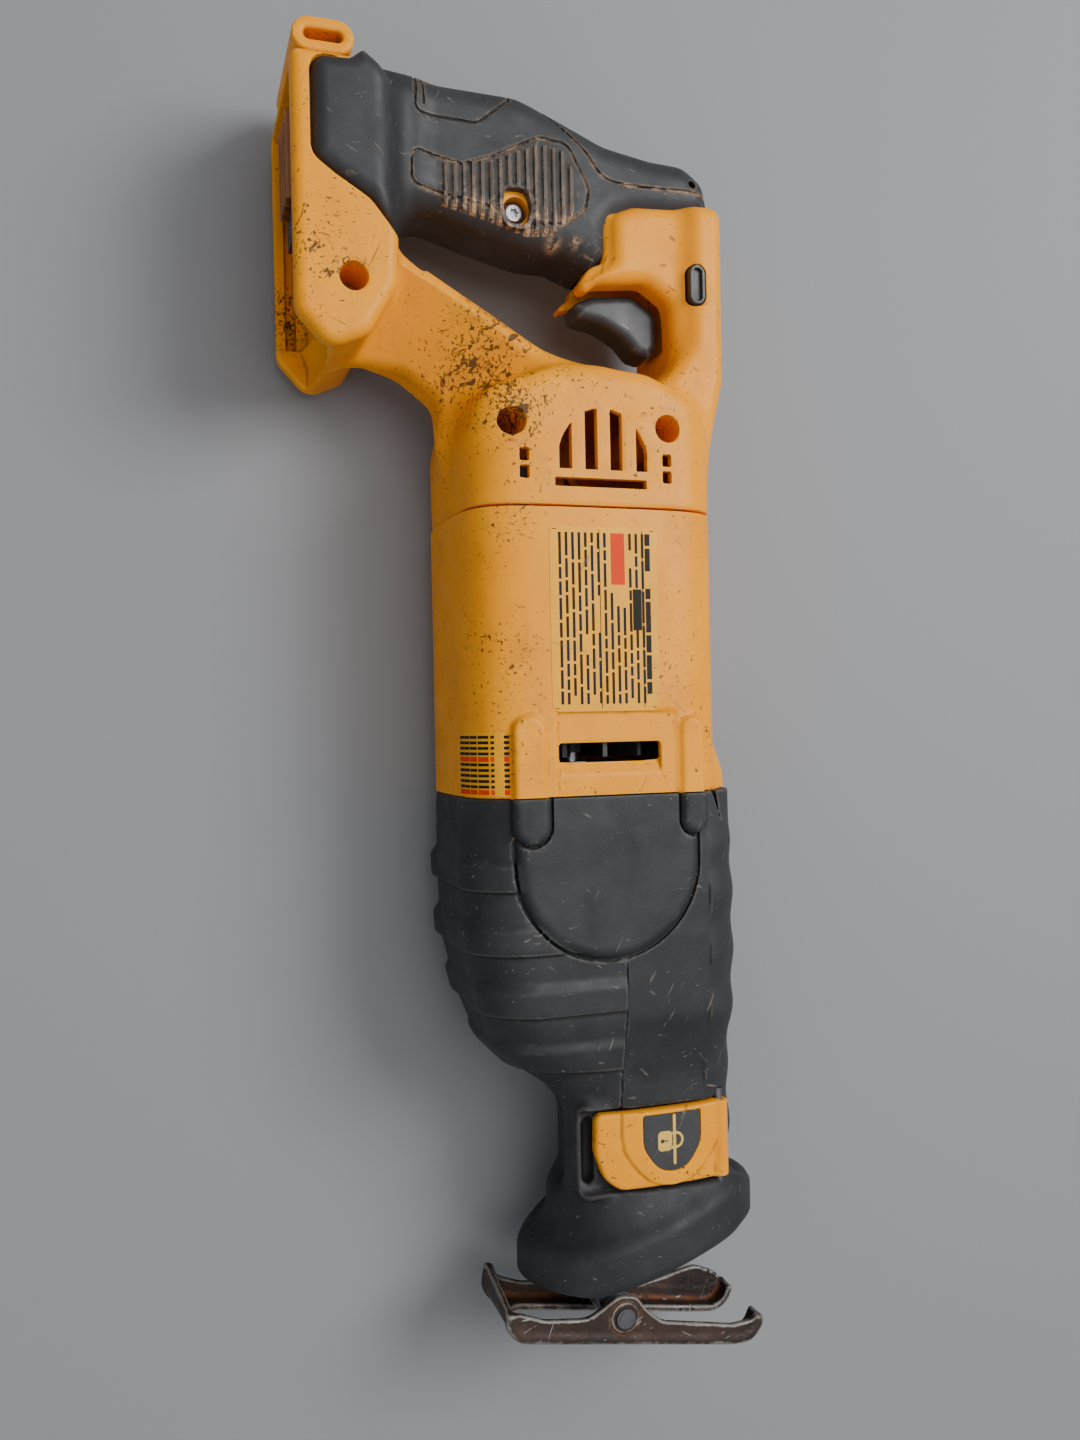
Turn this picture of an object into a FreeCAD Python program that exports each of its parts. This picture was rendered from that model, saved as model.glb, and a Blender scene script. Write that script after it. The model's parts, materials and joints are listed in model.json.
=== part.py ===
"""Cordless reciprocating saw, bare tool, lying on its left side.

Design axes: X runs forward to the shoe, Y runs up through the tool from the battery foot to the
top of the housing, and Z runs across it.  The casing's seam is the plane z = 0.  Every finished
piece is then moved by the same placement, so that the tool rests on z = 0.
"""
import FreeCAD, Part
import math
import os

Vector = FreeCAD.Vector

# Driving dimensions, in millimetres, degrees or counts.
SIZES = {
    "frame_x": -0.28,
    "frame_y": -4.5,
    "half_width": 41.0,
    "wall": 3.0,
    "cover_wall": 3.0,
    "boot_wall": 3.4,
    "skin_gap": 0.2,
    "seam_gap": 0.15,
    "running_gap": 0.05,
    "body_gap": 0.4,
    "axis_y": 11.5,
    "body_radius": 52.0,
    "body_half_height": 46.8,
    "housing_rear": -72.0,
    "housing_front": 26.0,
    "foot_half_width": 34.0,
    "foot_length": 89.0,
    "foot_rear": -223.0,
    "foot_base": -90.0,
    "strut_half_width": 25.0,
    "bar_half_width": 20.0,
    "bar_top": 66.0,
    "grip_half_width": 17.5,
    "trigger_half_width": 8.0,
    "trigger_travel": 6.5,
    "lock_stand": 2.0,
    "lock_travel": 4.0,
    "pad_recess": 3.0,
    "pad_stand": 1.5,
    "blade_pitch": 6.6,
    "well_radius": 4.75,
    "well_floor": 9.0,
    "screw_head_radius": 3.3,
    "screw_radius": 1.9,
    "boss_radius": 7.0,
    "can_radius": 30.0,
    "can_wall": 2.5,
    "can_rear": -50.0,
    "can_length": 52.0,
    "magnet_thickness": 3.0,
    "air_gap": 0.6,
    "core_length": 34.0,
    "core_rear": -42.0,
    "shaft_radius": 4.0,
    "pinion_bore": 2.5,
    "pinion_length": 4.9,
    "winding_length": 5.0,
    "commutator_radius": 11.0,
    "bearing_radius": 11.0,
    "bearing_width": 6.0,
    "fan_radius": 36.5,
    "fan_rear": 3.0,
    "block_half_width": 36.0,
    "block_low": -38.5,
    "block_high": 68.0,
    "dome_radius": 33.0,
    "spigot_rear": 14.8,
    "gear_x": 49.0,
    "gear_module": 1.2,
    "gear_teeth": 40.0,
    "pinion_teeth": 9.0,
    "gear_thickness": 9.0,
    "crank_radius": 14.3,
    "roller_radius": 3.0,
    "axle_radius": 5.0,
    "plunger_y": 38.0,
    "plunger_radius": 6.5,
    "plunger_front": 176.0,
    "bush_radius": 10.0,
    "clamp_radius": 12.0,
    "clamp_rear": 150.0,
    "clamp_length": 26.0,
    "neck_half_width": 28.5,
    "lever_rear": 138.3,
    "lever_front": 166.0,
    "lever_tip": 9.0,
    "lever_hinge_y": 56.5,
    "lever_hinge_z": 25.5,
    "lever_thickness": 4.0,
    "lever_pin_radius": 1.5,
    "knuckle_radius": 3.4,
    "flange_front": 200.0,
    "flange_half_height": 47.0,
    "flange_half_width": 35.5,
    "flange_y": 34.0,
    "pivot_x": 216.0,
    "pivot_y": 22.0,
    "pivot_radius": 2.5,
    "post_half_width": 9.0,
    "shoe_half_width": 17.0,
    "shoe_slot_half": 8.0,
    "shoe_sheet": 2.5,
    "shoe_angle": -10.2,
}

doc = FreeCAD.newDocument("reciprocating_saw")
sheet = doc.addObject("Spreadsheet::Sheet", "sizes")
for row, (alias, value) in enumerate(SIZES.items(), start=1):
    sheet.set("A%d" % row, alias)
    sheet.set("B%d" % row, str(value))
    sheet.setAlias("B%d" % row, alias)
doc.recompute()


class Dim:
    """A length with both its value and the spreadsheet expression that gives it."""

    def __init__(self, text, value):
        self.text = text
        self.value = value

    def __add__(self, other):
        other = dim(other)
        return Dim("(%s + %s)" % (self.text, other.text), self.value + other.value)

    def __radd__(self, other):
        return dim(other) + self

    def __sub__(self, other):
        other = dim(other)
        return Dim("(%s - %s)" % (self.text, other.text), self.value - other.value)

    def __rsub__(self, other):
        return dim(other) - self

    def __mul__(self, other):
        other = dim(other)
        return Dim("(%s * %s)" % (self.text, other.text), self.value * other.value)

    def __rmul__(self, other):
        return dim(other) * self

    def __truediv__(self, other):
        other = dim(other)
        return Dim("(%s / %s)" % (self.text, other.text), self.value / other.value)

    def __neg__(self):
        return Dim("(0 - %s)" % self.text, -self.value)

    def __float__(self):
        return float(self.value)


def dim(value):
    """Give a plain number the form of a Dim."""
    if isinstance(value, Dim):
        return value
    return Dim("(%.9f)" % value, float(value))


class Sizes:
    """The sheet's cells by name."""

    def __getattr__(self, alias):
        return Dim("sizes.%s" % alias, float(sheet.get(alias)))


size = Sizes()
made = {}


def unique(name):
    """Number repeated helper objects, so that each has a name of its own."""
    made[name] = made.get(name, 0) + 1
    return "%s_%d" % (name, made[name])


def bind(thing, **values):
    """Bind each property of an object to its dimension."""
    for prop, value in values.items():
        thing.setExpression(prop, dim(value).text)


def locate(thing, x, y, z):
    """Bind an object's place."""
    thing.setExpression("Placement.Base.x", dim(x).text)
    thing.setExpression("Placement.Base.y", dim(y).text)
    thing.setExpression("Placement.Base.z", dim(z).text)


def box(x_range, y_range, z_range):
    """Return a box that spans three ranges."""
    thing = doc.addObject("Part::Box", unique("block"))
    spans = [dim(high) - dim(low) for low, high in (x_range, y_range, z_range)]
    bind(thing, Length=spans[0], Width=spans[1], Height=spans[2])
    locate(thing, x_range[0], y_range[0], z_range[0])
    return thing


ALONG = {
    "x": FreeCAD.Rotation(Vector(0, 0, 1), Vector(1, 0, 0)),
    "y": FreeCAD.Rotation(Vector(0, 0, 1), Vector(0, 1, 0)),
    "z": FreeCAD.Rotation(),
}


def rod(axis, radius, start, length, centre):
    """Return a cylinder along an axis; centre gives its other two coordinates in X, Y, Z order."""
    thing = doc.addObject("Part::Cylinder", unique("rod"))
    bind(thing, Radius=radius, Height=length)
    thing.Placement = FreeCAD.Placement(Vector(), ALONG[axis])
    place = {"x": (start, centre[0], centre[1]),
             "y": (centre[0], start, centre[1]),
             "z": (centre[0], centre[1], start)}[axis]
    locate(thing, *place)
    return thing


def fuse(*things):
    """Return the union of two or more objects."""
    thing = doc.addObject("Part::MultiFuse", unique("union"))
    thing.Shapes = list(things)
    return thing


def common(*things):
    """Return what the objects share."""
    thing = doc.addObject("Part::MultiCommon", unique("shared"))
    thing.Shapes = list(things)
    return thing


def cut(base, *tools):
    """Return the base without the tools."""
    thing = doc.addObject("Part::Cut", unique("cut"))
    thing.Base = base
    thing.Tool = tools[0] if len(tools) == 1 else fuse(*tools)
    return thing


def ring(axis, outer, inner, start, length, centre):
    """Return a plain ring; the hole runs past both faces."""
    hole = rod(axis, inner, dim(start) - 1, dim(length) + 2, centre)
    return cut(rod(axis, outer, start, length, centre), hole)


def mirror(thing):
    """Return the copy on the other side of the seam."""
    copy = doc.addObject("Part::Mirroring", unique("mirrored"))
    copy.Source = thing
    copy.Normal = Vector(0, 0, 1)
    return copy


def rounded_edges(points):
    """Return the lines and tangent arcs of a closed outline of (x, y, corner radius) points."""
    count = len(points)
    corners = []
    for index in range(count):
        x, y, radius = [float(value) for value in points[index]]
        here = Vector(x, y, 0)
        before = Vector(float(points[index - 1][0]), float(points[index - 1][1]), 0)
        after_point = points[(index + 1) % count]
        after = Vector(float(after_point[0]), float(after_point[1]), 0)
        back = (before - here).normalize()
        ahead = (after - here).normalize()
        turn = math.acos(max(-1.0, min(1.0, back.dot(ahead))))
        if radius <= 0 or math.pi - turn < 0.02:
            corners.append((here, None, here))
            continue
        reach = radius / math.tan(turn / 2)
        room = 0.48 * min((before - here).Length, (after - here).Length)
        if reach > room:
            reach = room
            radius = reach * math.tan(turn / 2)
        middle = (back + ahead).normalize()
        centre = here + middle * (radius / math.sin(turn / 2))
        corners.append((here + back * reach, centre - middle * radius, here + ahead * reach))
    edges = []
    for index in range(count):
        start, apex, end = corners[index]
        if apex is not None:
            edges.append(Part.Arc(start, apex, end))
        following = corners[(index + 1) % count][0]
        if (following - end).Length > 1e-6:
            edges.append(Part.LineSegment(end, following))
    return edges


def outline(points):
    """Return a sketch on the seam plane holding a closed, rounded outline."""
    sketch = doc.addObject("Sketcher::SketchObject", unique("outline"))
    for edge in rounded_edges(points):
        sketch.addGeometry(edge, False)
    return sketch


def inset(sketch, depth):
    """Return the outline moved inwards."""
    moved = doc.addObject("Part::Offset2D", unique("inset"))
    moved.Source = sketch
    moved.Join = 2
    bind(moved, Value=-dim(depth))
    return moved


def slab(profile, low, high):
    """Return an outline's solid between two heights."""
    solid = doc.addObject("Part::Extrusion", unique("slab"))
    solid.Base = profile
    solid.DirMode = "Custom"
    solid.Dir = Vector(0, 0, 1)
    solid.Solid = True
    bind(solid, LengthFwd=high, LengthRev=-dim(low))
    return solid


def pad(points, low, high):
    """Return the slab of a rounded outline given by its points."""
    return slab(outline(points), low, high)


pieces = {}


def piece(label, *things):
    """Finish a sub-part: one labelled compound with the tool's own placement."""
    thing = doc.addObject("Part::Compound", "piece_" + label)
    thing.Links = list(things)
    thing.Label = label
    locate(thing, -size.frame_x, -size.frame_y, size.half_width)
    pieces[label] = thing
    return thing


axis_y = size.axis_y
half = size.half_width
wall = size.wall
seam = size.seam_gap
foot_front = size.foot_rear + size.foot_length
far = 60.0


# ---------------------------------------------------------------------------- handle shells
def foot_points():
    """Outline of the battery foot."""
    rear, base, front = size.foot_rear, size.foot_base, foot_front
    return [(rear, base, 3), (front, base, 5), (front + 12, base + 12, 6), (front + 8, base + 22, 6),
            (front - 8, base + 34, 8), (rear + 46, base + 34, 4), (rear + 1, base + 28, 3)]


def strut_points():
    """Outline of the slanted strut between the foot and the body."""
    rear, base = foot_front, size.foot_base
    return [(rear - 30, base + 14, 3), (rear + 6, base + 20, 3), (rear + 13, base + 42, 20),
            (rear + 30, base + 54, 8), (rear + 42, base + 66, 4), (rear + 33, base + 110, 4),
            (rear + 14, base + 107, 9), (rear + 5, base + 86, 12), (rear - 14, base + 55, 12),
            (rear - 26, base + 34, 3), (rear - 36, base + 30, 3)]


def bar_points():
    """Outline of the top bar that carries the trigger."""
    top = size.bar_top
    return [(-184, 33, 4), (-181, 24, 5), (-164, 24, 3), (-153.5, 10.5, 1), (-156, 20, 8),
            (-158, 38, 6), (-150, 47, 6), (-128, 48, 8), (-119.5, 40, 8), (-119.5, 22, 4),
            (-100, 20, 4), (-84, 56, 6), (-102, top - 4, 14), (-124, top, 20), (-186, top, 3)]


def front_points():
    """Outline of the wide front end that meets the motor housing."""
    rear = size.housing_rear - size.skin_gap
    low, high = axis_y - size.body_half_height, axis_y + size.body_half_height
    return [(rear, low, 0), (-106, low, 12), (-117, -38, 8), (-132, -10, 6), (-122, 4, 8),
            (-119.5, 20, 6), (-119.5, 44, 10), (-100, high, 10), (rear, high, 0)]


def core_points():
    """Outline of the grip's plastic core under its rubber cover."""
    return [(-219, -76, 2), (-220, -50, 6), (-219.5, -6, 20), (-213, 10, 10), (-206, 26, 20),
            (-202.5, 44, 10), (-202, 55, 6), (-196, 61, 5), (-180, 63, 2), (-160, 62, 2),
            (-160, 30, 2), (-170, 22, 3), (-170.5, 0, 20), (-175, -22, 20), (-181, -42, 10),
            (-179, -58, 5), (-175, -76, 2)]


def cover_points():
    """Outline of the rubber grip cover."""
    return [(-221, -70, 2), (-229, -64, 3), (-235, -59, 1), (-227, -52, 4), (-223, -36, 20),
            (-222.5, -6, 20), (-216, 8, 20), (-209, 25, 20), (-205.5, 43, 10), (-205, 57, 8),
            (-198, 64, 8), (-186, 66, 2), (-180, 58, 2), (-178, 25, 2), (-165, 24, 3),
            (-167, 10, 6), (-167, -3, 20), (-172, -22, 20), (-178, -42, 10), (-176, -56, 5),
            (-171, -64, 2), (-178, -70, 2)]


def shell_regions():
    """Return (outline points, half width) for each region of the handle's shells."""
    return {
        "foot": (foot_points(), size.foot_half_width),
        "strut": (strut_points(), size.strut_half_width),
        "bar": (bar_points(), size.bar_half_width),
        "core": (core_points(), size.grip_half_width - size.cover_wall),
        "front": (front_points(), half),
    }


def make_regions():
    """Return the outer solids and the cavity solids of the right-hand shell."""
    outer, hollow = {}, {}
    for name, (points, height) in shell_regions().items():
        profile = outline(points)
        solid = slab(profile, seam, height)
        space = slab(inset(profile, wall), -1, height - wall)
        if name == "front":
            solid = common(solid, rod("x", size.body_radius, -145, 75, (axis_y, 0)))
            space = common(space, rod("x", size.body_radius - wall, -145, 75, (axis_y, 0)))
        outer[name] = solid
        hollow[name] = space
    return outer, hollow


shell_screws = {
    "foot": (-145, -71, size.foot_half_width),
    "lower": (-100, -20, half),
    "upper": (-100, 36, half),
    "grip": (-187, -8, size.grip_half_width - size.cover_wall),
}
well_floor = size.well_floor


# The trigger slides back along the line from the finger to the switch.
pull_x, pull_y = -0.906, 0.423


def trigger_points():
    """Outline of the trigger, with its concave finger face."""
    return [(-151.5, 15, 2), (-147, 17, 2), (-143.5, 27, 14), (-136, 37, 4), (-134.5, 42, 1.5),
            (-137, 46, 2), (-150, 46, 4), (-157, 38, 6), (-155, 22, 6)]


def stem_points():
    """Outline of the trigger's stem towards the switch."""
    return [(-152, 30, 0), (-154, 40, 0), (-168, 44, 1), (-168, 34, 1)]


def passage_points():
    """Outline of the space that the trigger and its stem sweep."""
    reach, rise = pull_x * size.trigger_travel, pull_y * size.trigger_travel
    return [(-145, 12, 0), (-149.5 + reach, 11 + rise, 0), (-162 + reach, 21.5 + rise, 0),
            (-172 + reach, 30 + rise, 0), (-172 + reach, 51 + rise, 0), (-140, 51 + rise, 0),
            (-131, 45, 0), (-133, 34, 0)]


def vent_cuts():
    """Return the cooling slots beside the motor, as one tool for the right-hand shell."""
    slots = []
    arc_x, arc_radius, pitch, slot = -85.5, 18.5, 8.6, 5.2
    for index in range(4):
        offset = (index - 1.5) * pitch
        reach = math.sqrt(arc_radius ** 2 - (abs(offset) + slot / 2) ** 2) + 1.0
        low = axis_y + offset - slot / 2
        slots.append(box((arc_x - reach, arc_x), (low, low + slot), (half - 2 * wall, half + 2)))
    slots.append(box((-81.5, -79.5), (axis_y - 19, axis_y + 19), (half - 2 * wall, half + 2)))
    for low in (-19.5, 33.5):
        for start in (-92.5, -84.5):
            slots.append(box((start, start + 5), (low, low + 3), (half - 4 * wall, half + 2)))
    return slots


outer, hollow = make_regions()
bosses = []
bores = []
wells = []
for spot_x, spot_y, height in shell_screws.values():
    bosses.append(rod("z", size.boss_radius, seam, height - wall / 2 - seam, (spot_x, spot_y)))
    bores.append(rod("z", size.screw_radius + size.running_gap, -1, height - wall + 1, (spot_x, spot_y)))
    wells.append(rod("z", size.well_radius, well_floor, far, (spot_x, spot_y)))
loop = pad([(-232.5, -87, 4), (-219, -88, 1), (-219, -68, 1), (-232.5, -69, 4)], seam, 12)
loop_slot = pad([(-229.6, -84.5, 2), (-224, -84.5, 2), (-224, -71.5, 2), (-229.6, -71.5, 2)], -1, far)
receptacle = box((size.foot_rear + 8, foot_front - 3), (size.foot_base - 1, size.foot_base + 12),
                 (-1, size.foot_half_width - 7))
rail = box((size.foot_rear + 8, foot_front - 3), (size.foot_base + 4, size.foot_base + 8),
           (-1, size.foot_half_width - 4))
pad_recess_low = size.foot_half_width - size.pad_recess
pad_points = [(-221, -83, 5), (-222, -63, 3), (-223, -53, 2), (-180, -53, 4), (-168, -60, 6),
              (-187, -78, 8), (-195, -83, 5)]
pad_recess = pad(pad_points, pad_recess_low, far)
passage = pad(passage_points(), -1, size.trigger_half_width + size.body_gap)
lock_oval = [(-164.8, 52.6, 3), (-149.8, 52.6, 3), (-149.8, 59.4, 3), (-164.8, 59.4, 3)]
lock_hole = pad(lock_oval, -1, far)
opening_gap = rod("x", size.body_radius + 5, size.housing_rear - size.skin_gap, 60, (axis_y, 0))
shell_solid = fuse(*outer.values(), loop)
shell_hollow = cut(shell_solid, *hollow.values())
shell_bossed = fuse(shell_hollow, *bosses)
shell_base = cut(shell_bossed, *bores, loop_slot, receptacle, rail, pad_recess, passage, lock_hole,
                 opening_gap, *vent_cuts())
piece("handle_shell_right", cut(shell_base, *wells))
piece("handle_shell_left", mirror(shell_base))

pad_profile = outline(pad_points)
side_pad = slab(inset(pad_profile, size.skin_gap), pad_recess_low + size.skin_gap,
                size.foot_half_width + size.pad_stand)
piece("foot_pad_right", side_pad)
piece("foot_pad_left", mirror(side_pad))

cover_outer = pad(cover_points(), seam, size.grip_half_width)
cover_base = cut(cover_outer, outer["core"], outer["bar"], outer["foot"], outer["strut"], loop,
                 pad_recess)
grip_x, grip_y, grip_height = shell_screws["grip"]
cover_well = rod("z", size.well_radius + 0.6, 1, far, (grip_x, grip_y))
piece("grip_cover_right", cut(cover_base, cover_well))
piece("grip_cover_left", mirror(cover_base))

screws = []
for spot_x, spot_y, height in shell_screws.values():
    head = rod("z", size.screw_head_radius, well_floor, 3, (spot_x, spot_y))
    socket = rod("z", 1.5, well_floor + 1.2, 3, (spot_x, spot_y))
    shank = rod("z", size.screw_radius, -(well_floor + 1), 2 * well_floor + 1, (spot_x, spot_y))
    screws.append(cut(fuse(head, shank), socket))
piece("handle_screws", *screws)

# ---------------------------------------------------------------------------- controls
trigger_half = size.trigger_half_width
piece("trigger", fuse(pad(trigger_points(), -trigger_half, trigger_half),
                      pad(stem_points(), -4, 4)))
switch_front = -172.1 + pull_x * size.trigger_travel - size.body_gap
piece("switch_body", box((switch_front - 20.4, switch_front), (24, 50), (-9, 9)))
lock_reach = size.bar_half_width + size.lock_stand
lock_bar = slab(inset(outline(lock_oval), 0.3), -lock_reach, lock_reach)
piece("lock_off_button", lock_bar)

block_low, block_high = size.foot_base + 3.5, size.foot_base + 11
terminal_block = box((-214, -168), (block_low, block_high + 0.8), (-13, 13))
blades = []
for index in range(4):
    centre_z = (index - 1.5) * size.blade_pitch
    blades.append(box((-208, -178), (size.foot_base + 0.6, size.foot_base + 8),
                      (centre_z - 0.5, centre_z + 0.5)))
piece("terminal_block", cut(terminal_block, *blades))
piece("terminal_blades", *blades)

# ---------------------------------------------------------------------------- motor housing
rear_x, front_x = size.housing_rear, size.housing_front
housing_length = front_x - rear_x
body_low, body_high = axis_y - size.body_half_height, axis_y + size.body_half_height
slice_box = box((rear_x, front_x), (body_low, body_high), (-half, half))
housing_outer = common(rod("x", size.body_radius, rear_x, housing_length, (axis_y, 0)), slice_box)
inner_slice = box((rear_x + wall, front_x + 1), (body_low + wall, body_high - wall),
                  (wall - half, half - wall))
housing_space = common(rod("x", size.body_radius - wall, rear_x + wall, housing_length, (axis_y, 0)),
                       inner_slice)
fairing = pad([(-2, 50, 2), (8, 64, 10), (front_x, 67, 1), (front_x, 40, 1), (2, 40, 1)], -22, 22)
fairing_space = pad([(4, 50, 2), (11, 60, 8), (front_x + 1, 63, 1), (front_x + 1, 38, 1), (4, 38, 1)],
                    -19, 19)
cradle_rings = []
cradle_slice = box((-60, 10), (body_low + 1, body_high - 1), (1 - half, half - 1))
for start in (-46.0, -8.0):
    collar = ring("x", size.body_radius - wall / 2, size.can_radius + size.skin_gap, start, 5, (axis_y, 0))
    cradle_rings.append(common(collar, cradle_slice))
rear_seat = ring("x", size.bearing_radius + 3, size.bearing_radius, rear_x + 1, 7.5, (axis_y, 0))
window = box((8.5, 13.5), (axis_y - 18, axis_y + 19), (half - 2 * wall, half + 2))
housing_walls = cut(fuse(housing_outer, fairing), housing_space, fairing_space)
shaft_hole = rod("x", size.bearing_radius, rear_x - 1, 9.5, (axis_y, 0))
piece("motor_housing", cut(fuse(housing_walls, *cradle_rings, rear_seat), window, shaft_hole))

piece("motor_can", ring("x", size.can_radius, size.can_radius - size.can_wall, size.can_rear,
                        size.can_length, (axis_y, 0)))
magnet_outer = size.can_radius - size.can_wall - 0.1
magnet_inner = magnet_outer - size.magnet_thickness
magnet_ring = ring("x", magnet_outer, magnet_inner, size.core_rear, size.core_length, (axis_y, 0))
gap_bars = [box((-60, 10), (axis_y - far, axis_y + far), (-3, 3)),
            box((-60, 10), (axis_y - 3, axis_y + 3), (-far, far))]
piece("field_magnets", cut(magnet_ring, *gap_bars))

core_radius = magnet_inner - size.air_gap
mesh_x = size.gear_x - size.gear_module * size.gear_teeth / 2
pinion_rear = mesh_x - size.pinion_length / 2
shaft_front = mesh_x + size.pinion_length / 2 + size.seam_gap
shaft_rear = rear_x + 0.5
bore = size.shaft_radius
piece("armature_shaft", fuse(rod("x", bore, shaft_rear, pinion_rear - shaft_rear, (axis_y, 0)),
                             rod("x", size.pinion_bore, pinion_rear - 1, shaft_front - pinion_rear + 1,
                                 (axis_y, 0))))
core_slots = []
for index in range(12):
    slot_box = doc.addObject("Part::Box", unique("core_slot"))
    bind(slot_box, Length=size.core_length + 4, Width=2.0, Height=14)
    turned = FreeCAD.Rotation(Vector(1, 0, 0), index * 30)
    slot_box.Placement = FreeCAD.Placement(Vector(), turned)
    offset = turned.multVec(Vector(0, -1, 11))
    locate(slot_box, size.core_rear - 2, axis_y + offset.y, offset.z)
    core_slots.append(slot_box)
core_ring = ring("x", core_radius, bore, size.core_rear, size.core_length, (axis_y, 0))
piece("armature_core", cut(core_ring, *core_slots))
winding_length = size.winding_length
windings = []
for start in (size.core_rear - winding_length, size.core_rear + size.core_length):
    windings.append(ring("x", core_radius - 4, bore + 2, start, winding_length, (axis_y, 0)))
piece("armature_windings", *windings)
commutator_rear = size.core_rear - winding_length - 11
piece("commutator", ring("x", size.commutator_radius, bore, commutator_rear, 10, (axis_y, 0)))
fan_rear = size.fan_rear
fan_disc = ring("x", size.fan_radius, bore, fan_rear, 2, (axis_y, 0))
fan_hub = ring("x", 9, bore, fan_rear, 9, (axis_y, 0))
fan_vanes = []
for index in range(16):
    vane = doc.addObject("Part::Box", unique("vane"))
    bind(vane, Length=9, Width=1.6, Height=size.fan_radius - 14)
    turned = FreeCAD.Rotation(Vector(1, 0, 0), index * 22.5)
    vane.Placement = FreeCAD.Placement(Vector(), turned)
    offset = turned.multVec(Vector(0, -0.8, 13.5))
    locate(vane, fan_rear + 1, axis_y + offset.y, offset.z)
    fan_vanes.append(vane)
piece("cooling_fan", fuse(fan_disc, fan_hub, *fan_vanes))
bearing_seats = {"rear_bearing": rear_x + wall - 0.2, "front_bearing": size.spigot_rear + 0.6}
for label, start in bearing_seats.items():
    piece(label, ring("x", size.bearing_radius - size.running_gap, bore + size.running_gap, start,
                      size.bearing_width, (axis_y, 0)))

brush_reach = size.commutator_radius + size.body_gap
brush_x = commutator_rear + 1.5
brushes = []
springs = []
for side in (-1, 1):
    inner_end = side * brush_reach
    outer_end = side * (brush_reach + 9)
    spring_end = side * (brush_reach + 14)
    low, high = (inner_end, outer_end) if side > 0 else (outer_end, inner_end)
    brushes.append(box((brush_x, brush_x + 7), (axis_y - 3, axis_y + 3), (low, high)))
    low, high = (outer_end, spring_end) if side > 0 else (spring_end, outer_end)
    springs.append(rod("z", 2.4, low, high - low, (brush_x + 3.5, axis_y)))
piece("brushes", *brushes)
piece("brush_springs", *springs)
holder_ring = ring("x", size.can_radius - size.can_wall, size.commutator_radius + 2,
                   commutator_rear - 0.5, 9.5, (axis_y, 0))
holder_gap = box((brush_x - 0.1, brush_x + 7.1), (axis_y - 3.1, axis_y + 3.1), (-25.6, 25.6))
piece("brush_holder", cut(holder_ring, holder_gap))

# ---------------------------------------------------------------------------- gear case and boot
def block_points():
    """Outline of the gear case block, as covered by the boot."""
    low, high = size.block_low, size.block_high
    return [(front_x, low, 3), (68, low - 2.5, 25), (100, low + 5.5, 25), (124, low + 26.5, 20),
            (124, high - 2, 4), (front_x, high, 3)]


def neck_points():
    """Outline of the neck that leads to the shoe."""
    return [(96, -34, 2), (104, -30, 10), (128, -6, 25), (142, 5, 16), (186, 3, 2), (186, 71, 2),
            (96, 71, 4)]


def case_solid(depth, rear_extra):
    """Return the boot's shape moved inwards by a depth; rear_extra lengthens it at the rear."""
    block_half = size.block_half_width - depth
    neck_half = size.neck_half_width - depth
    block = slab(inset(outline(block_points()), depth), -block_half, block_half)
    neck = slab(inset(outline(neck_points()), depth), -neck_half, neck_half)
    dome = rod("z", size.dome_radius - depth, -(half - depth), 2 * (half - depth), (size.gear_x, axis_y))
    rear = box((front_x - rear_extra, front_x + 12), (size.block_low + depth, size.block_high - depth),
               (-block_half, block_half))
    return fuse(block, neck, dome, rear)


def ellipse_slab(start, length, half_y, half_z):
    """Return a disc of elliptical outline, square to the tool's length."""
    disc = doc.addObject("Part::Ellipse", unique("ellipse"))
    bind(disc, MajorRadius=half_y, MinorRadius=half_z)
    turned = FreeCAD.Rotation(Vector(0, 1, 0), Vector(0, 0, 1), Vector(1, 0, 0), "ZXY")
    disc.Placement = FreeCAD.Placement(Vector(), turned)
    locate(disc, start, size.flange_y, 0)
    solid = doc.addObject("Part::Extrusion", unique("disc"))
    solid.Base = disc
    solid.DirMode = "Custom"
    solid.Dir = Vector(1, 0, 0)
    solid.Solid = True
    bind(solid, LengthFwd=length)
    return solid


case_depth = size.boot_wall + size.skin_gap
boot_solid = case_solid(0.0, 0.0)
lip = ellipse_slab(size.flange_front - 16, 16, size.flange_half_height, size.flange_half_width)
collar = ellipse_slab(size.flange_front - 27, 12, size.flange_half_height - 8,
                      size.flange_half_width - 4)
bell_space = ellipse_slab(size.flange_front - 12, 14, size.flange_half_height - 4,
                          size.flange_half_width - 4)
throat = ellipse_slab(size.flange_front - 40, 45, 27, 22)
lever_pocket = box((size.lever_rear - 0.6, size.lever_front + 0.6),
                   (-20, size.lever_hinge_y + size.knuckle_radius + 1), (size.lever_hinge_z - 3.7, far))
hinge_line = (size.lever_hinge_y, size.lever_hinge_z)
lever_width = size.lever_front - size.lever_rear
lever_pin_hole = rod("x", size.lever_pin_radius, size.lever_rear - 4, lever_width + 8, hinge_line)
boot_space = case_solid(size.boot_wall, 20)
piece("nose_boot", cut(fuse(boot_solid, lip, collar), boot_space, bell_space, throat, lever_pocket,
                       lever_pin_hole, box((-40, front_x), (-far, 2 * far), (-far, far))))

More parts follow.
